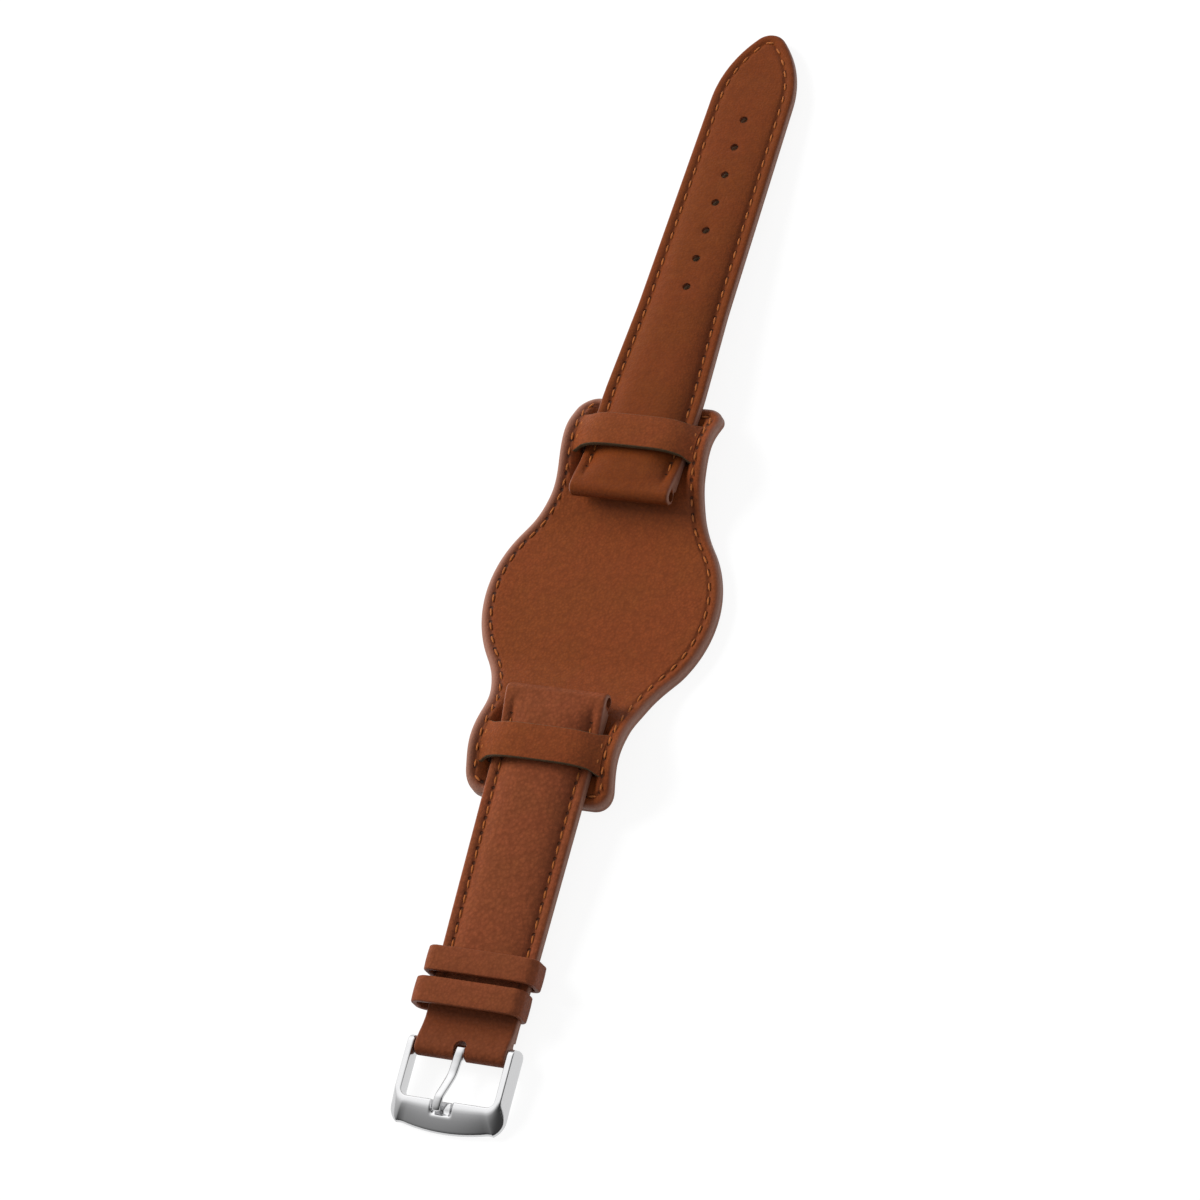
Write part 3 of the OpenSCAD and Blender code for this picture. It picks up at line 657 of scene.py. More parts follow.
def pad_layer(s, name, low, high, is_face):
    """A layer of the pad between two heights over its back, curled at the necks."""
    band = BAND if is_face else (0, 0.06, 0.18, 0.35, 0.6, 1.2, 2.2, 3.5)
    right, far = pad_sides(s, 3.5)
    loops = [pad_loop(s, d) for d in band]
    n = len(loops[0])
    nu, nv = len(right), len(far)
    seam = pad_loop(s, s.inset)
    runs = [0.0]
    for a, c in zip(seam, seam[1:] + seam[:1]):
        runs.append(runs[-1] + hypot(c[0] - a[0], c[1] - a[1]))
    runs = [round(runs[-1] / s.pitch) * r / runs[-1] for r in runs]
    points, faces, facts = [], [], {"inset": [], "run": [], "edge": [], "raw": []}

    def height(x, y, d, top):
        z = rise(s, y) + curl(s, x, y)
        if top:
            z += high
            if is_face:
                bevel_d, bevel_w = 0.5, 1.2
                z += seam_relief(d, ridge=0.12, groove=0.26, width=0.42)
                z -= bevel_d * max(0.0, 1 - d / bevel_w) ** 2 + edge_round(d, 0.25)
            return z
        return z + low + (0.0 if is_face else edge_round(d, 0.5))

    def add(x, y, d, run, top):
        points.append((x * 0.001, y * 0.001, height(x, y, d, top) * 0.001))
        facts["inset"].append(d if top and is_face else INWARDS)
        facts["run"].append(run)
        # Painted highlight: the pale edge tint reaches further in on the pad's left rim, which faces the
        # light.
        reach = 1.25 + 2.1 * (1 - smooth(-9.0, 1.0, x))  # the edge's tint runs wider on the left
        facts["edge"].append(1.0 if top != is_face else max(0.0, 1 - d / reach))
        facts["raw"].append(0.0)

    for top in (True, False):
        base = len(points)
        for d, loop in zip(band, loops):
            for (x, y), run in zip(loop, runs):
                add(x, y, d, run, top)
        for k in range(len(band) - 1):
            a = base + k * n
            faces += strip(a, a + n, n, flip=not top, wrap=True)
        grid = len(points)
        for i, (rx, ry) in enumerate(right):
            u = (ry - right[0][1]) / (right[-1][1] - right[0][1])
            for j, (tx, ty) in enumerate(far):
                v = (far[0][0] - tx) / (2 * far[0][0])
                x = (1 - 2 * v) * rx + tx - (1 - 2 * v) * far[0][0]
                y = ry + (2 * u - 1) * (ty - far[0][1])
                add(x, y, 3.5 + 5 * min(v, 1 - v) + 0.01, 0.0, top)
        for i in range(nu - 1):
            for j in range(nv - 1):
                a = grid + i * nv + j
                quad = (a, a + nv, a + nv + 1, a + 1)
                faces.append(quad if top else quad[::-1])
    half = len(points) // 2
    for i in range(n):
        a, c = i, (i + 1) % n
        faces.append((a, half + a, half + c, c))
    return finish_mesh(name, points, faces, facts)


def rounded_bar(width, thick, r, crown=0.0, n=4):
    """Section of a leather band: across, up and whether it is the cut edge, all the way round."""
    out = []
    for sx, sz, a0 in ((1, 1, 0), (-1, 1, pi / 2), (-1, -1, pi), (1, -1, 3 * pi / 2)):
        for i in range(n + 1):
            a = a0 + pi / 2 * i / n
            out.append((sx * (width / 2 - r) + r * cos(a), sz * (thick / 2 - r) + r * sin(a)))
        if sz == 1 and sx == 1 or sz == -1 and sx == -1:
            for f in (0.6, 0.3, 0.0, -0.3, -0.6):
                out.append((sx * f * (width / 2 - r), sz * thick / 2))
    return [(x, z + (crown * (1 - (2 * x / width) ** 2) if z > 0 else 0),
             1.0 if abs(x) > width / 2 - r * 0.6 else 0.0) for x, z in out]


def bridge_reach(s):
    return s.slot_half + 0.95


def bridge_crown(s, x, y):
    """Height of a bridge's crown over the seat of the straps."""
    reach = bridge_reach(s)
    margin = curl(s, reach, y) + s.rise_h + s.pad_t - s.seat_z
    return margin + (s.bridge_top - margin) * max(0.0, 1 - (abs(x) / reach) ** 4.6) ** 1.5


def bridge(s, end):
    """The band of the face leather that crosses the strap, its ends run into the margins."""
    place = seat_frame(s, end, shift=False)
    reach = bridge_reach(s)
    rings, raw = [], []
    for x in [reach * sin(pi / 2 * i / 44) for i in range(-44, 45)]:
        flare = 0.7 * smooth(s.slot_half - 1.6, reach, abs(x))
        ring = []
        for across, up, cut in rounded_bar(s.bridge_l + 2 * flare, s.bridge_t, 0.3, 0.1):
            y = s.bridge_y + s.bridge_l / 2 + across
            ring.append(place(x, y, bridge_crown(s, x, y) + 0.03 - s.bridge_t / 2 + up))
            raw.append(cut)
        rings.append(ring)
    return lofted("bridge_" + end, rings, {"raw": raw})


def joined(name, *objs):
    """One object from several."""
    with bpy.context.temp_override(active_object=objs[0], selected_editable_objects=list(objs)):
        bpy.ops.object.join()
    objs[0].name = name
    objs[0].data.name = name
    return objs[0]


def keeper(b, name, y, width, aside, low, shoulder, place):
    """A loop of leather round the buckle piece, moved aside to the left, with a rounder left shoulder."""
    half, room = b.keeper_half, b.keeper_room
    right_r, under_r, sag = 1.0, 0.8, 0.15
    path = []
    for sx, sz, a0 in ((1, 1, 0), (-1, 1, pi / 2), (-1, 0, pi), (1, 0, 3 * pi / 2)):
        r0 = (shoulder if sx < 0 else right_r) if sz else under_r
        cx, cz = sx * (half - r0), room - r0 if sz else low + r0
        path += [(cx, cz, a0 + pi / 2 * i / 10, r0) for i in range(11)]
        if (sx > 0) == bool(sz):
            path += [(cx * f, cz, a0 + pi / 2, r0) for f in (0.7, 0.4, 0.1, -0.2, -0.5, -0.75)]
    rings, edge = [], []
    for cx, cz, a, r0 in path:
        ring = []
        for across, up, cut in rounded_bar(width, b.keeper_t, 0.32, 0.1):
            r = r0 + b.keeper_t / 2 + up
            z = cz + r * sin(a)
            if z > room:
                z -= sag * smooth(0.55, 1.0, abs(cx) / half)
            ring.append(place(cx + r * cos(a) - aside, y + across, z))
            edge.append(0.4 * cut)
        rings.append(ring)
    return lofted(name, rings, {"edge": edge}, closed=True)


def frame_shape(b, place):
    """The buckle frame: two arms with round ends, and a domed front bar with its notch."""
    h = b.frame_h / 2
    corner_y = b.front_y - b.bulge - b.corner_r * 0.6
    cx = b.frame_half - b.corner_r
    ri = 1.5
    stations = []
    for i in range(9):
        back = cos(pi / 2 * i / 8)
        tuck = 0.9 * (1 - sqrt(1 - back ** 4))
        y = -b.rear - h * back
        stations.append(((b.half + 0.2 * tuck, y), (b.frame_half - tuck, y)))
    for y in spaced(-b.rear, b.window_l - ri, 1.0)[1:]:
        stations.append(((b.half, y), (b.frame_half, min(y, corner_y))))
    turn = arc(b.half - ri, b.window_l - ri, ri, 0, pi / 2, 10)[1:]
    start_y = stations[-1][1][1]
    outer = [(b.frame_half, start_y + (corner_y - start_y) * i / 3) for i in range(1, 4)]
    outer += arc(cx, corner_y, b.corner_r, 0, radians(58), 7)[1:]
    stations += list(zip(turn, outer))
    x0, y0 = outer[-1]
    inner_x = turn[-1][0]
    nx = 88
    for i in range(1, nx + 1):
        f = i / nx
        xo = x0 * (1 - f)
        yo = b.front_y - b.bulge_r + sqrt(b.bulge_r ** 2 - xo * xo)
        yo += (y0 - (b.front_y - b.bulge_r + sqrt(b.bulge_r ** 2 - x0 * x0))) * max(0.0, 1 - 6 * f) ** 2
        stations.append(((inner_x * (1 - f), b.window_l), (xo, yo)))
    full = stations + [((-i[0], i[1]), (-o[0], o[1])) for i, o in reversed(stations[:-1])]
    # Shares of the way from the inner to the outer edge, close at both edges and where the slope begins
    cuts = (0, 0.02, 0.05, 0.09, 0.14, 0.2, 0.28, 0.36, 0.43, 0.48,
            0.51, 0.55, 0.6, 0.68, 0.76, 0.84, 0.9, 0.95, 0.98, 1)
    deep = b.front_l * 0.34  # how far the notch runs over the front bar
    front_fall = 2.3
    arm_fall = 2 * h - 0.75
    rings = []
    for (xi, yi), (xo, yo) in full:
        span = hypot(xo - xi, yo - yi)
        turned = smooth(0.05, 0.95, (yo - yi) / span)
        flat = 0.52 - 0.29 * turned
        fall = front_fall + (arm_fall - front_fall) * turned
        top, low = [], []
        for v in cuts:
            x, y = xi + (xo - xi) * v, yi + (yo - yi) * v
            near, rest = v * span, (1 - v) * span
            slope = max(0.0, (v - flat) / (1 - flat)) ** (1.15 + 0.1 * turned)
            z = h - fall * slope - edge_round(near, 0.35) * 0.8 - edge_round(rest, 0.35) * 0.8
            off = abs(x + b.notch_aside)
            if yi > b.window_l - 0.1:
                wide = 1 - smooth(b.notch_w / 2 - 0.6, b.notch_w / 2 + 0.45, off)
                z -= b.notch_d * wide * (1 - smooth(deep, deep + 1.2, near))
            zb = -h + edge_round(near, 0.4) + edge_round(rest, 0.5) * (0.9 - 0.4 * turned)
            tall = sqrt(max(0.0, 1 - ((y + b.rear) / h) ** 2)) if y < -b.rear else 1.0
            top.append(place(x, b.bar_y + y, b.loop_r + max(z, zb) * tall))
            low.append(place(x, b.bar_y + y, b.loop_r + zb * tall))
        rings.append(top + low[::-1])
    obj = lofted("buckle_frame_polished", rings, sharp=60)
    return carve(obj, cross_rod("bar_holes", b.bar_y, b.loop_r, 0.42, b.half + 1.25, place), sharp=80)


def tongue_shape(b, place):
    """The tongue: a ring round the bar and a rounded arm that bends over the frame's edge."""
    floor_z = b.frame_h / 2 - b.notch_d + 0.05
    tip = b.window_l + b.front_l * 0.39
    t = b.tongue_t / 2
    # Distance from the bar and height over it, along the arm's middle line
    knots = [(-0.6, 1.58 - t), (0.3, 1.62 - t), (1.5, 1.42 - t), (3.0, t + 0.12),
             (b.window_l * 0.48, t + 0.06), (b.window_l * 0.72, t + b.tongue_bend * 0.52),
             (b.window_l * 0.92, t + b.tongue_bend), (b.window_l + 0.15, t + b.tongue_bend - 0.02),
             (tip - 1.0, t + floor_z + 0.32), (tip - 0.35, t + floor_z - 0.08), (tip, t + floor_z - 0.17)]
    path = []
    for k in range(len(knots) - 1):
        p0, p1, p2, p3 = (Vector(knots[min(max(k + o, 0), len(knots) - 1)]) for o in (-1, 0, 1, 2))
        for i in range(6):
            u = i / 6
            path.append(0.5 * (2 * p1 + (p2 - p0) * u + (2 * p0 - 5 * p1 + 4 * p2 - p3) * u * u
                               + (3 * p1 - p0 - 3 * p2 + p3) * u ** 3))
    path.append(Vector(knots[-1]))
    rings = []
    for k, p in enumerate(path):
        a, c = path[max(k - 1, 0)], path[min(k + 1, len(path) - 1)]
        along = (c - a).normalized()
        up = Vector((-along.y, along.x))
        left = tip - p.x
        thin = sqrt(max(0.05, 1 - (1 - min(left / 0.5, 1.0)) ** 2))
        half = b.tongue_w / 2 * (1 - 0.1 * p.x / tip) * (0.35 + 0.65 * thin)
        thick = t * (0.25 + 0.75 * thin)
        lean = -b.tongue_lean * p.x / tip
        ring = []
        for i in range(24):
            q = 2 * pi * i / 24
            cx, cz = cos(q), sin(q)
            x = half * (abs(cx) ** 0.75) * (1 if cx > 0 else -1)
            z = thick * (abs(cz) ** 0.75) * (1 if cz > 0 else -1)
            ring.append(place(lean + x, b.bar_y + p.x + up.x * z, b.loop_r + p.y + up.y * z))
        rings.append(ring)
    arm = lofted("tongue_arm", rings, sharp=80)
    section = rounded_bar(b.tongue_w, b.ring_r - b.bore_r, 0.2)
    middle = (b.ring_r + b.bore_r) / 2
    rings = []
    for i in range(40):
        a = 2 * pi * i / 40
        rings.append([place(x, b.bar_y + (middle + z) * cos(a), b.loop_r + (middle + z) * sin(a))
                      for x, z, _ in section])
    eye = lofted("tongue_eye", rings, closed=True, sharp=60)
    carve(arm, cross_rod("eye_room", b.bar_y, b.loop_r, middle, 4, place), sharp=80)
    return joined("buckle_tongue_polished", arm, eye)


def join(tree, value, place):
    """Gives an input a value, or links a socket or a wire to it."""
    if isinstance(value, Wire):
        value = value.socket
    if isinstance(value, bpy.types.NodeSocket):
        tree.links.new(value, place)
    else:
        place.default_value = value


def plug(tree, kind, wires=None, **facts):
    """A new node with its settings and with what its inputs take."""
    node = tree.nodes.new(kind)
    for key, value in facts.items():
        setattr(node, key, value)
    for key, value in (wires or {}).items():
        join(tree, value, node.inputs[key])
    return node


def rgba(value):
    """A colour of three numbers with its alpha, or anything else as it is."""
    return (*value, 1.0) if isinstance(value, tuple) and len(value) == 3 else value


class Wire:
    """A socket that can be added to, multiplied and so on, to write materials as sums."""

    def __init__(self, tree, socket):
        self.tree, self.socket = tree, socket

    def math(self, kind, *values):
        node = plug(self.tree, "ShaderNodeMath", dict(enumerate(values)), operation=kind)
        return Wire(self.tree, node.outputs[0])

    def __add__(self, other): return self.math("ADD", self, other)
    def __radd__(self, other): return self.math("ADD", other, self)
    def __sub__(self, other): return self.math("SUBTRACT", self, other)
    def __rsub__(self, other): return self.math("SUBTRACT", other, self)
    def __mul__(self, other): return self.math("MULTIPLY", self, other)
    def __rmul__(self, other): return self.math("MULTIPLY", other, self)
    def __truediv__(self, other): return self.math("DIVIDE", self, other)
    def __rtruediv__(self, other): return self.math("DIVIDE", other, self)
    def __pow__(self, other): return self.math("POWER", self, other)

    def ramp(self, low, high, start=0.0, end=1.0):
        """Goes smoothly from start to end while this goes from low to high."""
        wires = dict(enumerate((self, low, high, start, end)))
        node = plug(self.tree, "ShaderNodeMapRange", wires, interpolation_type="SMOOTHSTEP")
        return Wire(self.tree, node.outputs[0])


class Finish:
    """A material in the making: its tree, and the nodes that leather, thread and steel share."""

    def __init__(self, name):
        self.material = bpy.data.materials.new(name)
        self.material.use_nodes = True
        self.tree = self.material.node_tree
        self.shader = self.tree.nodes["Principled BSDF"]
        self.coords = self.node("ShaderNodeTexCoord", out="Object")

    def node(self, kind, out=0, facts=None, **inputs):
        wires = {key.replace("_", " "): value for key, value in inputs.items()}
        return Wire(self.tree, plug(self.tree, kind, wires, **(facts or {})).outputs[out])

    def noise(self, size_mm, detail=2.0, rough=0.5):
        return self.node("ShaderNodeTexNoise", Vector=self.coords, Scale=1000.0 / size_mm,
                         Detail=detail, Roughness=rough)

    def cells(self, size_mm, smoothness):
        return self.node("ShaderNodeTexVoronoi", facts={"feature": "SMOOTH_F1"}, Vector=self.coords,
                         Scale=1000.0 / size_mm, Smoothness=smoothness)

    def fact(self, name):
        return self.node("ShaderNodeAttribute", out="Fac", facts={"attribute_name": name})

    def mix(self, share, a, b):
        node = plug(self.tree, "ShaderNodeMix", {0: share, 6: rgba(a), 7: rgba(b)}, data_type="RGBA")
        return Wire(self.tree, node.outputs[2])

    def bump(self, height, depth_mm, strength=1.0, under=None):
        inputs = {"Height": height, "Distance": depth_mm * 0.001, "Strength": strength}
        if under is not None:
            inputs["Normal"] = under
        return self.node("ShaderNodeBump", **inputs)

    def set(self, **inputs):
        for key, value in inputs.items():
            join(self.tree, rgba(value), self.shader.inputs[key.replace("_", " ")])
        return self.material


def colours():
    group = bpy.context.scene.strap_colours
    return SimpleNamespace(**{key: tuple(getattr(group, key)) for key in fields(group)})


# Second tones of the finishes, among them the dark tone of the painted shade in the needle holes
LEATHER_WARM = (0.27, 0.084, 0.020)
NEEDLE_HOLE_SHADE = (0.040, 0.013, 0.006)
LINING_DEEP = (0.26, 0.105, 0.046)
LINING_HAIR = (0.17, 0.07, 0.032)
THREAD_DEEP = (0.20, 0.060, 0.012)
STEEL_WORN = (0.52, 0.52, 0.54)
FELT_DEEP = (0.22, 0.16, 0.10)


def saddle_leather(name, pebble=None, grain=1.0, seams=True, deep=1.0, pale=0.0):
    """Grained saddle leather with painted shade in the groove and needle holes along its seams and beyond
    the fixed keeper, and painted or raw edges whose pale tint is partly a painted highlight.

    Its tones are the strap's colours times deep, with pale added, which greys them.
    """
    s, c = settings(), colours()
    for key in ("leather", "leather_red"):
        setattr(c, key, tuple(deep * v + pale * w for v, w in zip(getattr(c, key), (0.3, 0.8, 1.0))))
    f = Finish(name)
    warp = f.noise(2.2, 2.0)
    size = pebble or s.pebble
    cells = f.cells(size, 0.35)
    pores = f.noise(size * 0.42, 3.0, 0.6)
    blotch = f.noise(11.0, 3.0, 0.6)
    fleck = f.noise(1.3, 4.0, 0.65)
    inset, run = f.fact("inset"), f.fact("run")
    across = (inset - s.inset).math("ABSOLUTE", inset - s.inset)
    phase = run.math("FRACT", run)
    along = phase.math("MINIMUM", phase, 1.0 - phase) * s.pitch
    reach = (along * along + across * across) ** 0.5
    real = run.math("GREATER_THAN", run, 0.02) * run.math("LESS_THAN", run, NO_SEAM - 1)
    needle = reach.ramp(0.24, 0.46, 1.0, 0.0) * real
    groove = across.ramp(0.25, 0.85, 1.0, 0.0) * real
    colour = f.mix(blotch.ramp(0.35, 0.68), c.leather, c.leather_red)
    colour = f.mix(fleck.ramp(0.30, 0.72) * 0.34, colour, c.leather_dark)
    colour = f.mix(cells.ramp(0.28, 0.62) * 0.19 * grain, colour, c.leather_dark)
    colour = f.mix(warp.ramp(0.50, 0.80) * 0.10, colour, LEATHER_WARM)
    if seams:
        # Painted shade in the seams' pressed line.
        colour = f.mix(groove * 0.34, colour, c.leather_dark)
    # Painted shade beyond the fixed keeper, from the fold attribute.
    colour = f.mix(f.fact("fold") * 0.6, colour, c.leather_dark)
    # Edge paint on the cut edges; its pale tone is partly a painted highlight.
    colour = f.mix(f.fact("edge").ramp(0.4, 0.95), colour, c.edge)
    colour = f.mix(f.fact("raw").ramp(0.35, 0.75), colour, c.raw)
    if seams:
        # Painted shade in the needle holes, which the bump below also presses in.
        colour = f.mix(needle * 0.85, colour, NEEDLE_HOLE_SHADE)
    height = (1.0 - cells) * 0.8 + pores * 0.45
    relief = f.bump(height, 0.085 * grain, 0.75)
    relief = f.bump(f.noise(5.0, 2.0), 0.10, 0.6, relief)
    if seams:
        relief = f.bump(1.0 - needle, 0.22, 0.8, relief)
    rough = 0.50 + fleck * 0.16 + f.fact("edge") * 0.06
    return f.set(Base_Color=colour, Roughness=rough, Normal=relief, Specular_IOR_Level=0.2,
                 Coat_Weight=f.fact("edge").ramp(0.1, 0.6) * 0.38, Coat_Roughness=0.4)


def lining_leather(name):
    """Soft lining leather, paler than the face."""
    c, f = colours(), Finish(name)
    hair = f.cells(0.5, 0.4)
    patch = f.noise(7.0, 4.0, 0.6)
    colour = f.mix(patch.ramp(0.3, 0.7) * 0.5, c.lining, LINING_DEEP)
    colour = f.mix(hair.ramp(0.3, 0.6) * 0.25, colour, LINING_HAIR)
    colour = f.mix(f.fact("edge").ramp(0.45, 0.85), colour, c.edge)
    relief = f.bump((1.0 - hair) * 0.7 + f.noise(0.2, 3.0) * 0.4, 0.05, 0.7)
    return f.set(Base_Color=colour, Roughness=0.62 + patch * 0.12, Normal=relief, Specular_IOR_Level=0.3)


def waxed_thread(name):
    c, f = colours(), Finish(name)
    ply = f.noise(0.35, 3.0, 0.6)
    colour = f.mix(ply.ramp(0.3, 0.75) * 0.55, c.thread, THREAD_DEEP)
    return f.set(Base_Color=colour, Roughness=0.55 + ply * 0.1, Normal=f.bump(ply, 0.08, 0.8),
                 Sheen_Weight=0.1)


def polished_steel(name, rough=0.08):
    c, f = colours(), Finish(name)
    wear = f.noise(2.5, 5.0, 0.65)
    lines = f.noise(0.15, 2.0)
    colour = f.mix(wear.ramp(0.35, 0.75) * 0.18, c.steel, STEEL_WORN)
    return f.set(Base_Color=colour, Metallic=1.0, Roughness=rough + wear * 0.07,
                 Normal=f.bump(lines, 0.004, 0.15))


def felt(name):
    c, f = colours(), Finish(name)
    fluff = f.noise(0.3, 5.0, 0.7)
    return f.set(Base_Color=f.mix(fluff.ramp(0.3, 0.7), c.felt, FELT_DEEP), Roughness=0.9 + fluff * 0.05,
                 Normal=f.bump(fluff, 0.1, 0.8))


FINISHES = {
    "saddle_leather": lambda name: saddle_leather(name, grain=1.4),
    # The tail's copy is darker than the pad's: partly its own tone, partly painted shade.
    "strap_leather": lambda name: saddle_leather(name, pebble=0.5, grain=1.15, deep=0.785, pale=-0.004),
    "buckle_strap_leather": lambda name: saddle_leather(name, pebble=0.8, grain=1.6, deep=1.05, pale=0.008),
    "keeper_leather": lambda name: saddle_leather(name, 0.6, 1.2, seams=False, deep=0.98, pale=0.008),
    "lining_leather": lining_leather,
    "waxed_thread": waxed_thread,
    "polished_steel": polished_steel,
    "spring_steel": lambda name: polished_steel(name, rough=0.3),
    "filler_felt": felt,
}


def material(name):
    """The finish of that name, made once."""
    return bpy.data.materials.get(name) or FINISHES[name](name)


def stitch_tree():
    """Geometry Nodes: stitches in even steps along a line, lying flat on the way up stored on it."""
    tree = bpy.data.node_groups.get("Stitches along a seam")
    if tree:
        return tree
    tree = bpy.data.node_groups.new("Stitches along a seam", "GeometryNodeTree")
    for label, kind in (("Seam", "Geometry"), ("Pitch", "Float"), ("Stitch Length", "Float"),
                        ("Thread", "Float"), ("Slant", "Float"), ("Finish", "Material")):
        tree.interface.new_socket(label, in_out="INPUT", socket_type="NodeSocket" + kind)
    tree.interface.new_socket("Stitches", in_out="OUTPUT", socket_type="NodeSocketGeometry")

    def node(kind, wires=None, **facts):
        return plug(tree, kind, wires, **facts).outputs

    def calc(kind, *values):
        return node("ShaderNodeMath", dict(enumerate(values)), operation=kind)[0]

    start = node("NodeGroupInput")
    curve = node("GeometryNodeMeshToCurve", {"Mesh": start["Seam"]})[0]
    span = node("GeometryNodeCurveLength", {0: curve})[0]
    count = calc("MAXIMUM", calc("ROUND", calc("DIVIDE", span, start["Pitch"])), 1.0)
    dots = node("GeometryNodePoints", {"Count": count})[0]
    share = calc("DIVIDE", calc("ADD", node("GeometryNodeInputIndex")[0], 0.5), count)
    up = node("GeometryNodeInputNamedAttribute", {"Name": "up"}, data_type="FLOAT_VECTOR")[0]
    sample = node("GeometryNodeSampleCurve", {"Curves": curve, "Value": up, "Factor": share},
                  mode="FACTOR", data_type="FLOAT_VECTOR", use_all_curves=True)
    spot = node("GeometryNodeSetPosition", {"Geometry": dots, "Position": sample["Position"]})[0]
    axes = {"Primary Axis": sample["Value"], "Secondary Axis": sample["Tangent"]}
    turn = node("FunctionNodeAxesToRotation", axes, primary_axis="Z", secondary_axis="X")[0]
    lean = node("ShaderNodeCombineXYZ", {"Z": start["Slant"]})[0]
    slant = node("FunctionNodeRotateRotation", {0: turn, 1: lean}, rotation_space="LOCAL")[0]
    size = node("ShaderNodeCombineXYZ", {
        "X": calc("MULTIPLY", start["Stitch Length"], 0.5),
        "Y": calc("MULTIPLY", start["Thread"], 0.5),
        "Z": calc("MULTIPLY", start["Thread"], 0.42),
    })[0]
    bead = node("GeometryNodeMeshUVSphere", {"Segments": 8, "Rings": 8, "Radius": 1.0})["Mesh"]
    stitch = node("GeometryNodeTransform", {"Geometry": bead, "Rotation": (0.0, pi / 2, 0.0)})[0]
    rows = node("GeometryNodeInstanceOnPoints",
                {"Points": spot, "Instance": stitch, "Rotation": slant, "Scale": size})[0]
    real = node("GeometryNodeRealizeInstances", {0: rows})[0]
    node("NodeGroupOutput", {
        0: node("GeometryNodeSetMaterial", {"Geometry": real, "Material": start["Finish"]})[0],
    })
    return tree


def stitched(name, runs, place, s, share=1.0, slant=radians(5)):
    """Sews the runs with the stitch tree and returns one plain mesh."""
    objs = []
    tree = stitch_tree()
    values = {"Pitch": s.pitch * 0.001, "Stitch Length": s.stitch_l * share * 0.001,
              "Thread": s.thread_d * 0.001, "Slant": slant, "Finish": material("waxed_thread")}
    for k, run in enumerate(runs):
        obj = seam_path(f"{name}_{k}", run, place)
        nodes = obj.modifiers.new("sewing", "NODES")
        nodes.node_group = tree
        for item in tree.interface.items_tree:
            if item.in_out == "INPUT" and item.name in values:
                nodes[item.identifier] = values[item.name]
        graph = bpy.context.evaluated_depsgraph_get()
        mesh = bpy.data.meshes.new_from_object(obj.evaluated_get(graph))
        obj.modifiers.clear()
        obj.data = mesh
        mesh.shade_smooth()
        if not mesh.polygons:
            raise RuntimeError(f"no stitches were made for {name}")
        objs.append(obj)
    if len(objs) > 1:
        return joined(name, *objs)
    objs[0].name = objs[0].data.name = name
    return objs[0]


def settle(obj, body, slot_name, *nodes, finish=None):
    """Gives a piece its finish, attaches it to its body and hides its CAD nodes; slot_name is not used."""
    if finish:
        obj.data.materials.clear()
        obj.data.materials.append(material(finish))
    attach(obj, body)
    if nodes:
        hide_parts(*nodes)
    return obj


def straight(x, y, z):
    """The pad's own frame, which is the shared one, in metres."""
    return (x * 0.001, y * 0.001, z * 0.001)


class STRAP_OT_backing_pad(bpy.types.Operator):
    """Backing pad: lining, face leather and the two bridges"""
    bl_idname = "watch_strap.backing_pad"
    bl_label = "Backing Pad"

    def execute(self, context):
        s = settings()
        lining = pad_layer(s, "pad_back_leather", 0.0, s.lining_t, False)
        settle(lining, "pad", "lining", "pad_lining", finish="lining_leather")
        face = pad_layer(s, "pad_face_leather", s.lining_t, s.pad_t, True)
        slots = []
        for end in ("tail", "buckle"):
            place = seat_frame(s, end, shift=False)
            plan = [(-s.slot_half, s.bridge_y), (s.slot_half, s.bridge_y),
                    (s.slot_half, s.bridge_y + s.bridge_l), (-s.slot_half, s.bridge_y + s.bridge_l)]
            slots.append(prism("slot_cutter", plan, -3.0, 8.0, place))
        carve(face, *slots)
        face = joined("pad_face_leather", face, bridge(s, "tail"), bridge(s, "buckle"))
        settle(face, "pad", "tan_face", "pad_face", finish="saddle_leather")
        return {"FINISHED"}


class STRAP_OT_tail_piece(bpy.types.Operator):
    """Tail piece: face leather and lining, with the adjustment holes"""
    bl_idname = "watch_strap.tail_piece"
    bl_label = "Tail Piece"

    def execute(self, context):
        s, b = settings(), buckle_settings()
        place = seat_frame(s, "tail")
        shape = Strap(s, "tail", b)
        face = shape.face("tail_face_leather", place)
        carve(face, cross_rod("bore_cutter", s.roll_y, s.roll_r, s.bore_r, s.lug_w, place),
              *tail_holes(s, place))
        settle(face, "tail", "tan_face", "tail_upper", finish="strap_leather")
        back = carve(shape.lining("tail_back_leather", place), *tail_holes(s, place))
        settle(back, "tail", "lining", "tail_lining", finish="lining_leather")
        return {"FINISHED"}


class STRAP_OT_buckle_piece(bpy.types.Operator):
    """Buckle piece: face leather folded round the spring bar, and lining"""
    bl_idname = "watch_strap.buckle_piece"
    bl_label = "Buckle Piece"

    def execute(self, context):
        s, b = settings(), buckle_settings()
        place = seat_frame(s, "buckle")
        shape = Strap(s, "buckle", b)
        face = shape.face("buckle_strap_face_leather", place)
        beside, behind = 0.32, 0.6  # room for the tongue in its slot
        middle, end = -0.05, b.bar_y + 6  # the slot's middle, and a place beyond the fold
        half = b.tongue_w / 2 + beside
        back = b.bar_y - b.ring_r - behind
        plan = arc(middle, back + half, half, pi, 2 * pi, 12) + [(half, end), (-half, end)]
        carve(face, cross_rod("bore_cutter", s.roll_y, s.roll_r, s.bore_r, s.lug_w, place),
              cross_rod("bar_room", b.bar_y, b.loop_r, b.bore_r, s.lug_w, place),
              prism("tongue_slot", plan, -2, 7, place))
        settle(face, "buckle_strap", "tan_face", "buckle_strap_upper", finish="buckle_strap_leather")
        lining = shape.lining("buckle_strap_back_leather", place)
        settle(lining, "buckle_strap", "lining", "buckle_strap_lining", finish="lining_leather")
        return {"FINISHED"}


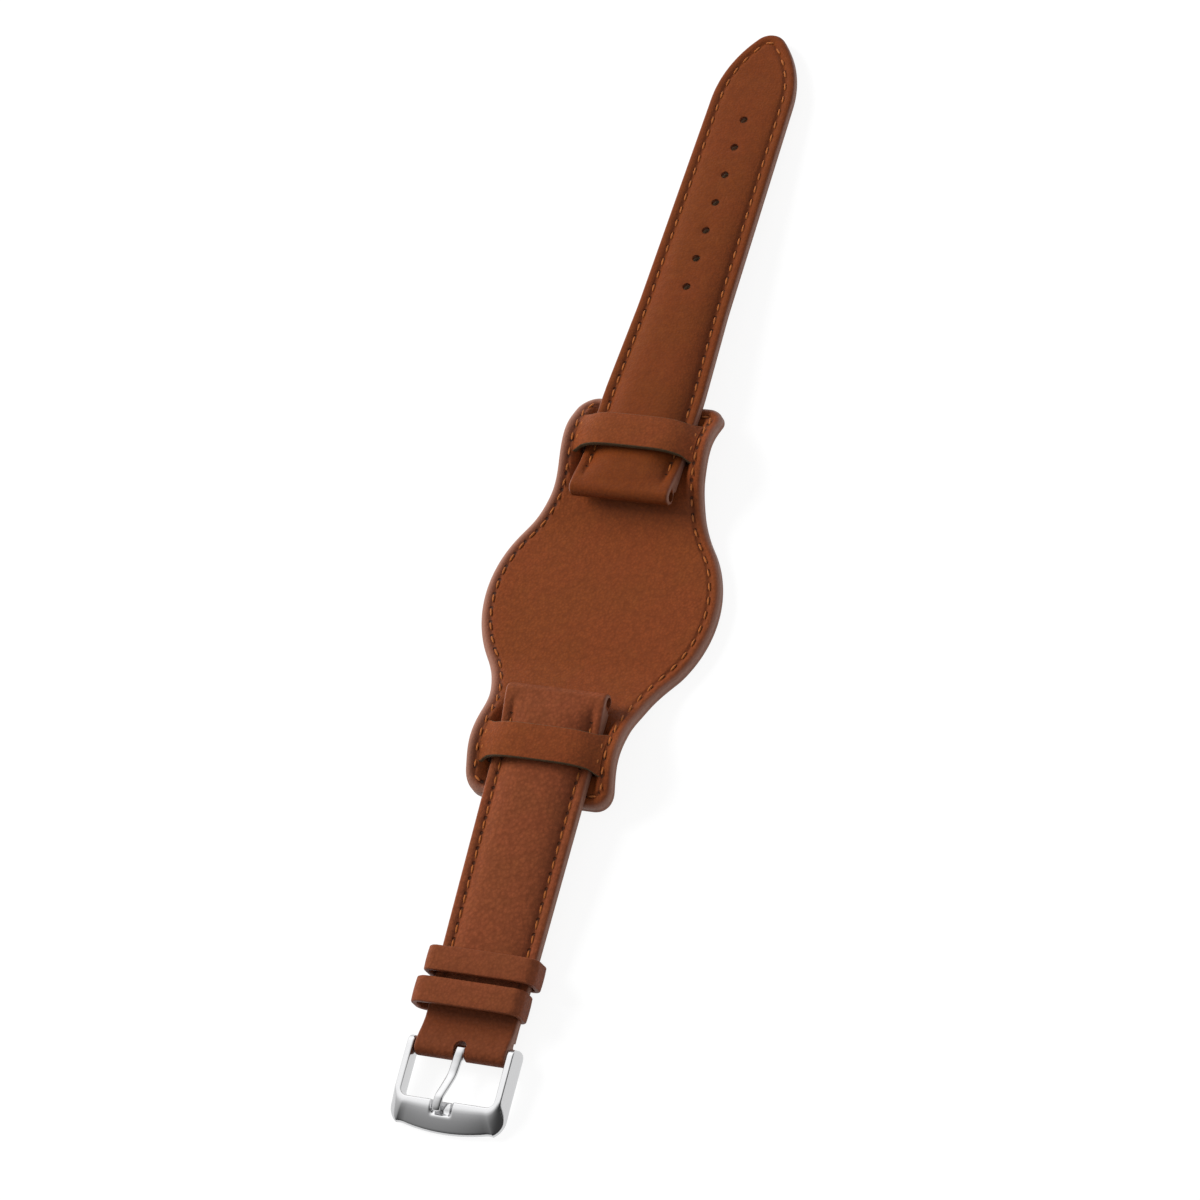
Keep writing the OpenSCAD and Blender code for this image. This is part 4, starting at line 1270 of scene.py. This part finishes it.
class STRAP_OT_seams(bpy.types.Operator):
    """All seams, sewn with the stitch tree, and the tacks at the bridges"""
    bl_idname = "watch_strap.seams"
    bl_label = "Seams"

    def execute(self, context):
        s, b = settings(), buckle_settings()
        loop = pad_loop(s, s.inset)
        groove_d = 0.14
        groove_z = s.pad_t - groove_d + s.thread_up
        loop = [(x, y, rise(s, y) + curl(s, x, y) + groove_z) for x, y in loop + loop[:1]]
        settle(stitched("pad_seam", [loop], straight, s), "pad", "thread", "pad_stitching")
        right, _, _ = Strap(s, "tail", b).seam()
        run = right + [(-x, y, z) for x, y, z in reversed(right[:-1])]
        settle(stitched("tail_seam", [run], seat_frame(s, "tail"), s), "tail", "thread", "tail_stitching")
        right, _, _ = Strap(s, "buckle", b).seam()
        runs = [right, [(-x, y, z) for x, y, z in right]]
        settle(stitched("buckle_strap_seam", runs, seat_frame(s, "buckle"), s), "buckle_strap", "thread",
               "buckle_strap_stitching")
        tacks = []
        off, half, up = 0.3, 2.9, 0.06  # of a tack: beyond the slot, half its length, over the leather
        for end in ("tail", "buckle"):
            place = seat_frame(s, end, shift=False)
            for side in (-1, 1):
                x, mid = side * (s.slot_half + off), s.bridge_y + s.bridge_l / 2
                run = [(x, y, bridge_crown(s, x, y) + up) for y in (mid - half, mid, mid + half)]
                tacks.append(stitched(f"tack_{end}_{side}", [run], place, s, share=0.7, slant=0.0))
        settle(joined("bridge_tack_stitches", *tacks), "pad", "thread", "bridge_tacks")
        return {"FINISHED"}


class STRAP_OT_keepers(bpy.types.Operator):
    """The fixed and the free keeper"""
    bl_idname = "watch_strap.keepers"
    bl_label = "Keepers"

    def execute(self, context):
        b, place = buckle_settings(), seat_frame(settings(), "buckle")
        fixed = keeper(b, "fixed_keeper_leather", b.keeper_y, b.keeper_l + 0.4, aside=1.05, low=0.0,
                       shoulder=1.9, place=place)
        settle(fixed, "buckle_strap", "tan_face", "fixed_keeper", finish="keeper_leather")
        free = keeper(b, "free_keeper_leather", b.free_y, b.keeper_l + 0.2, aside=-0.1, low=-0.12,
                      shoulder=1.1, place=place)
        settle(free, "free_keeper", "tan_face", "free_keeper", finish="keeper_leather")
        return {"FINISHED"}


class STRAP_OT_buckle(bpy.types.Operator):
    """Pin buckle: polished frame and tongue"""
    bl_idname = "watch_strap.buckle"
    bl_label = "Pin Buckle"

    def execute(self, context):
        b, place = buckle_settings(), seat_frame(settings(), "buckle")
        settle(frame_shape(b, place), "frame", "polished_steel", "buckle_frame", finish="polished_steel")
        settle(tongue_shape(b, place), "tongue", "polished_steel", "buckle_tongue", finish="polished_steel")
        return {"FINISHED"}


class STRAP_OT_inner_parts(bpy.types.Operator):
    """Finishes of the spring bar and of the filler, whose shapes stay as packed"""
    bl_idname = "watch_strap.inner_parts"
    bl_label = "Inner Parts"

    def execute(self, context):
        finishes = {"bar_barrel": "polished_steel", "bar_plunger_left": "polished_steel",
                    "bar_plunger_right": "polished_steel", "bar_spring": "spring_steel",
                    "tail_filler": "filler_felt", "buckle_strap_filler": "filler_felt"}
        for name, finish in finishes.items():
            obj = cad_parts[name]
            if not obj.material_slots:
                raise RuntimeError(f"{name} has no material slot")
            for slot in obj.material_slots:
                slot.material = material(finish)
        return {"FINISHED"}


def white_to_the_eye(tree, plain):
    """Mixes a shader with white for what the camera sees, also through glass."""
    path = plug(tree, "ShaderNodeLightPath").outputs
    glow = plug(tree, "ShaderNodeEmission", {"Strength": 1.0}).outputs[0]
    either = plug(tree, "ShaderNodeMath", {0: path["Is Camera Ray"], 1: path["Is Transmission Ray"]},
                  operation="MAXIMUM").outputs[0]
    return plug(tree, "ShaderNodeMixShader", {0: either, 1: plain, 2: glow}).outputs[0]


class STRAP_OT_studio(bpy.types.Operator):
    """Pale floor, soft lights and the camera"""
    bl_idname = "watch_strap.studio"
    bl_label = "Studio"

    def softbox(self, air, soft):
        """What mirrors see of the room: brightest above, behind and to the left."""
        where = plug(air, "ShaderNodeTexCoord").outputs["Generated"]
        side = plug(air, "ShaderNodeVectorMath", {0: where, 1: (-0.45, 0.62, 0.64)}, operation="DOT_PRODUCT")
        share = (Wire(air, side.outputs["Value"]) + 0.35) / 1.3
        shade = share.math("MAXIMUM", share, 0.0) ** 1.4 * 1.6 + 0.06
        room = plug(air, "ShaderNodeBackground", {"Strength": shade}).outputs[0]
        mirrored = plug(air, "ShaderNodeLightPath").outputs["Is Glossy Ray"]
        return plug(air, "ShaderNodeMixShader", {0: mirrored, 1: soft, 2: room}).outputs[0]

    def floor(self, colour):
        """A floor that looks almost white, takes a faint shadow and mirrors pale in the steel."""
        mesh = bpy.data.meshes.new("studio_floor")
        r, z = 3.0, -0.0004
        mesh.from_pydata([(-r, -r, z), (r, -r, z), (r, r, z), (-r, r, z)], [], [(0, 1, 2, 3)])
        floor = placed("studio_floor", mesh)
        paint = bpy.data.materials.new("studio_floor")
        paint.use_nodes = True
        tree = paint.node_tree
        shader = tree.nodes["Principled BSDF"]
        for key, value in (("Base Color", rgba(colour)), ("Roughness", 0.9), ("Specular IOR Level", 0.0)):
            join(tree, value, shader.inputs[key])
        lit = plug(tree, "ShaderNodeBsdfDiffuse", {"Color": (0.17, 0.17, 0.17, 1.0)}).outputs[0]
        glow = plug(tree, "ShaderNodeEmission", {"Strength": 0.89}).outputs[0]
        both = plug(tree, "ShaderNodeAddShader", {0: lit, 1: glow}).outputs[0]
        mirror = plug(tree, "ShaderNodeEmission", {"Strength": 0.85}).outputs[0]
        path = plug(tree, "ShaderNodeLightPath").outputs
        seen = plug(tree, "ShaderNodeMixShader",
                    {0: path["Is Glossy Ray"], 1: shader.outputs[0], 2: mirror}).outputs[0]
        mix = plug(tree, "ShaderNodeMixShader", {0: path["Is Camera Ray"], 1: seen, 2: both}).outputs[0]
        join(tree, mix, tree.nodes["Material Output"].inputs["Surface"])
        mesh.materials.append(paint)

    def execute(self, context):
        scene = context.scene
        self.floor(colours().floor)
        world = bpy.data.worlds.new("studio_air")
        scene.world = world
        world.use_nodes = True
        air = world.node_tree
        soft = air.nodes["Background"]
        soft.inputs["Color"].default_value = (1.0, 1.0, 1.0, 1.0)
        soft.inputs["Strength"].default_value = 0.34
        white = white_to_the_eye(air, self.softbox(air, soft.outputs[0]))
        air.links.new(white, air.nodes["World Output"].inputs["Surface"])

        for name, place, size, power in (("key_light", (-1.5, 0.45, 1.0), 0.95, 44.0),
                                         ("side_light", (1.2, -0.3, 1.1), 0.9, 3.0)):
            lamp = bpy.data.lights.new(name, "AREA")
            lamp.shape = "SQUARE"
            lamp.size = size
            lamp.energy = power
            obj = bpy.data.objects.new(name, lamp)
            obj.location = place
            obj.rotation_euler = Vector(place).to_track_quat("Z", "Y").to_euler()
            obj.visible_glossy = False
            scene.collection.objects.link(obj)

        # The camera that was fitted to the photo: its axes, its lens and its shift in pixels
        photo_w, distance = 1200, 1.156
        right = Vector((0.9107, 0.269, -0.3134)).normalized()
        back = Vector((0.3988, -0.3753, 0.8367)).normalized()
        up = back.cross(right).normalized()
        data = bpy.data.cameras.new("camera")
        data.sensor_width = 36.0
        data.lens = 171.8
        data.shift_x = -3.68 / photo_w
        data.shift_y = 9.19 / photo_w
        data.clip_start = 0.05
        camera = bpy.data.objects.new("camera", data)
        turn = Matrix((right, up, back)).transposed().to_4x4()
        camera.matrix_world = Matrix.Translation(back * distance) @ turn
        scene.collection.objects.link(camera)
        scene.camera = camera
        scene.view_settings.view_transform = "Standard"
        return {"FINISHED"}


STEPS = (STRAP_OT_backing_pad, STRAP_OT_tail_piece, STRAP_OT_buckle_piece, STRAP_OT_seams, STRAP_OT_keepers,
         STRAP_OT_buckle, STRAP_OT_inner_parts, STRAP_OT_studio)


class STRAP_PT_sidebar(bpy.types.Panel):
    """Lists the strap's pieces and sizes"""
    bl_idname = "STRAP_PT_sidebar"
    bl_label = "Watch Strap"
    bl_space_type = "VIEW_3D"
    bl_region_type = "UI"
    bl_category = "Watch Strap"

    def draw(self, context):
        column = self.layout.column(align=True)
        for step in STEPS:
            column.operator(step.bl_idname)
        for label, group in (("Strap", context.scene.strap_sizes), ("Pad", context.scene.pad_sizes),
                             ("Buckle", context.scene.buckle_sizes),
                             ("Colours", context.scene.strap_colours)):
            box = self.layout.box()
            box.label(text=label)
            for key in fields(group):
                box.prop(group, key)


GROUPS = (("strap_sizes", StrapSizes), ("pad_sizes", PadSizes), ("buckle_sizes", BuckleSizes),
          ("strap_colours", StrapColours))


def register():
    for key, group in GROUPS:
        bpy.utils.register_class(group)
        setattr(bpy.types.Scene, key, PointerProperty(type=group))
    for cls in (*STEPS, STRAP_PT_sidebar):
        bpy.utils.register_class(cls)


def unregister():
    for cls in (STRAP_PT_sidebar, *reversed(STEPS)):
        bpy.utils.unregister_class(cls)
    for key, group in reversed(GROUPS):
        delattr(bpy.types.Scene, key)
        bpy.utils.unregister_class(group)


def main():
    register()
    for step in STEPS:
        done = getattr(bpy.ops.watch_strap, step.bl_idname.split(".")[1])()
        if done != {"FINISHED"}:
            raise RuntimeError(f"{step.bl_label} didn't finish")


if __name__ == "__main__":
    main()
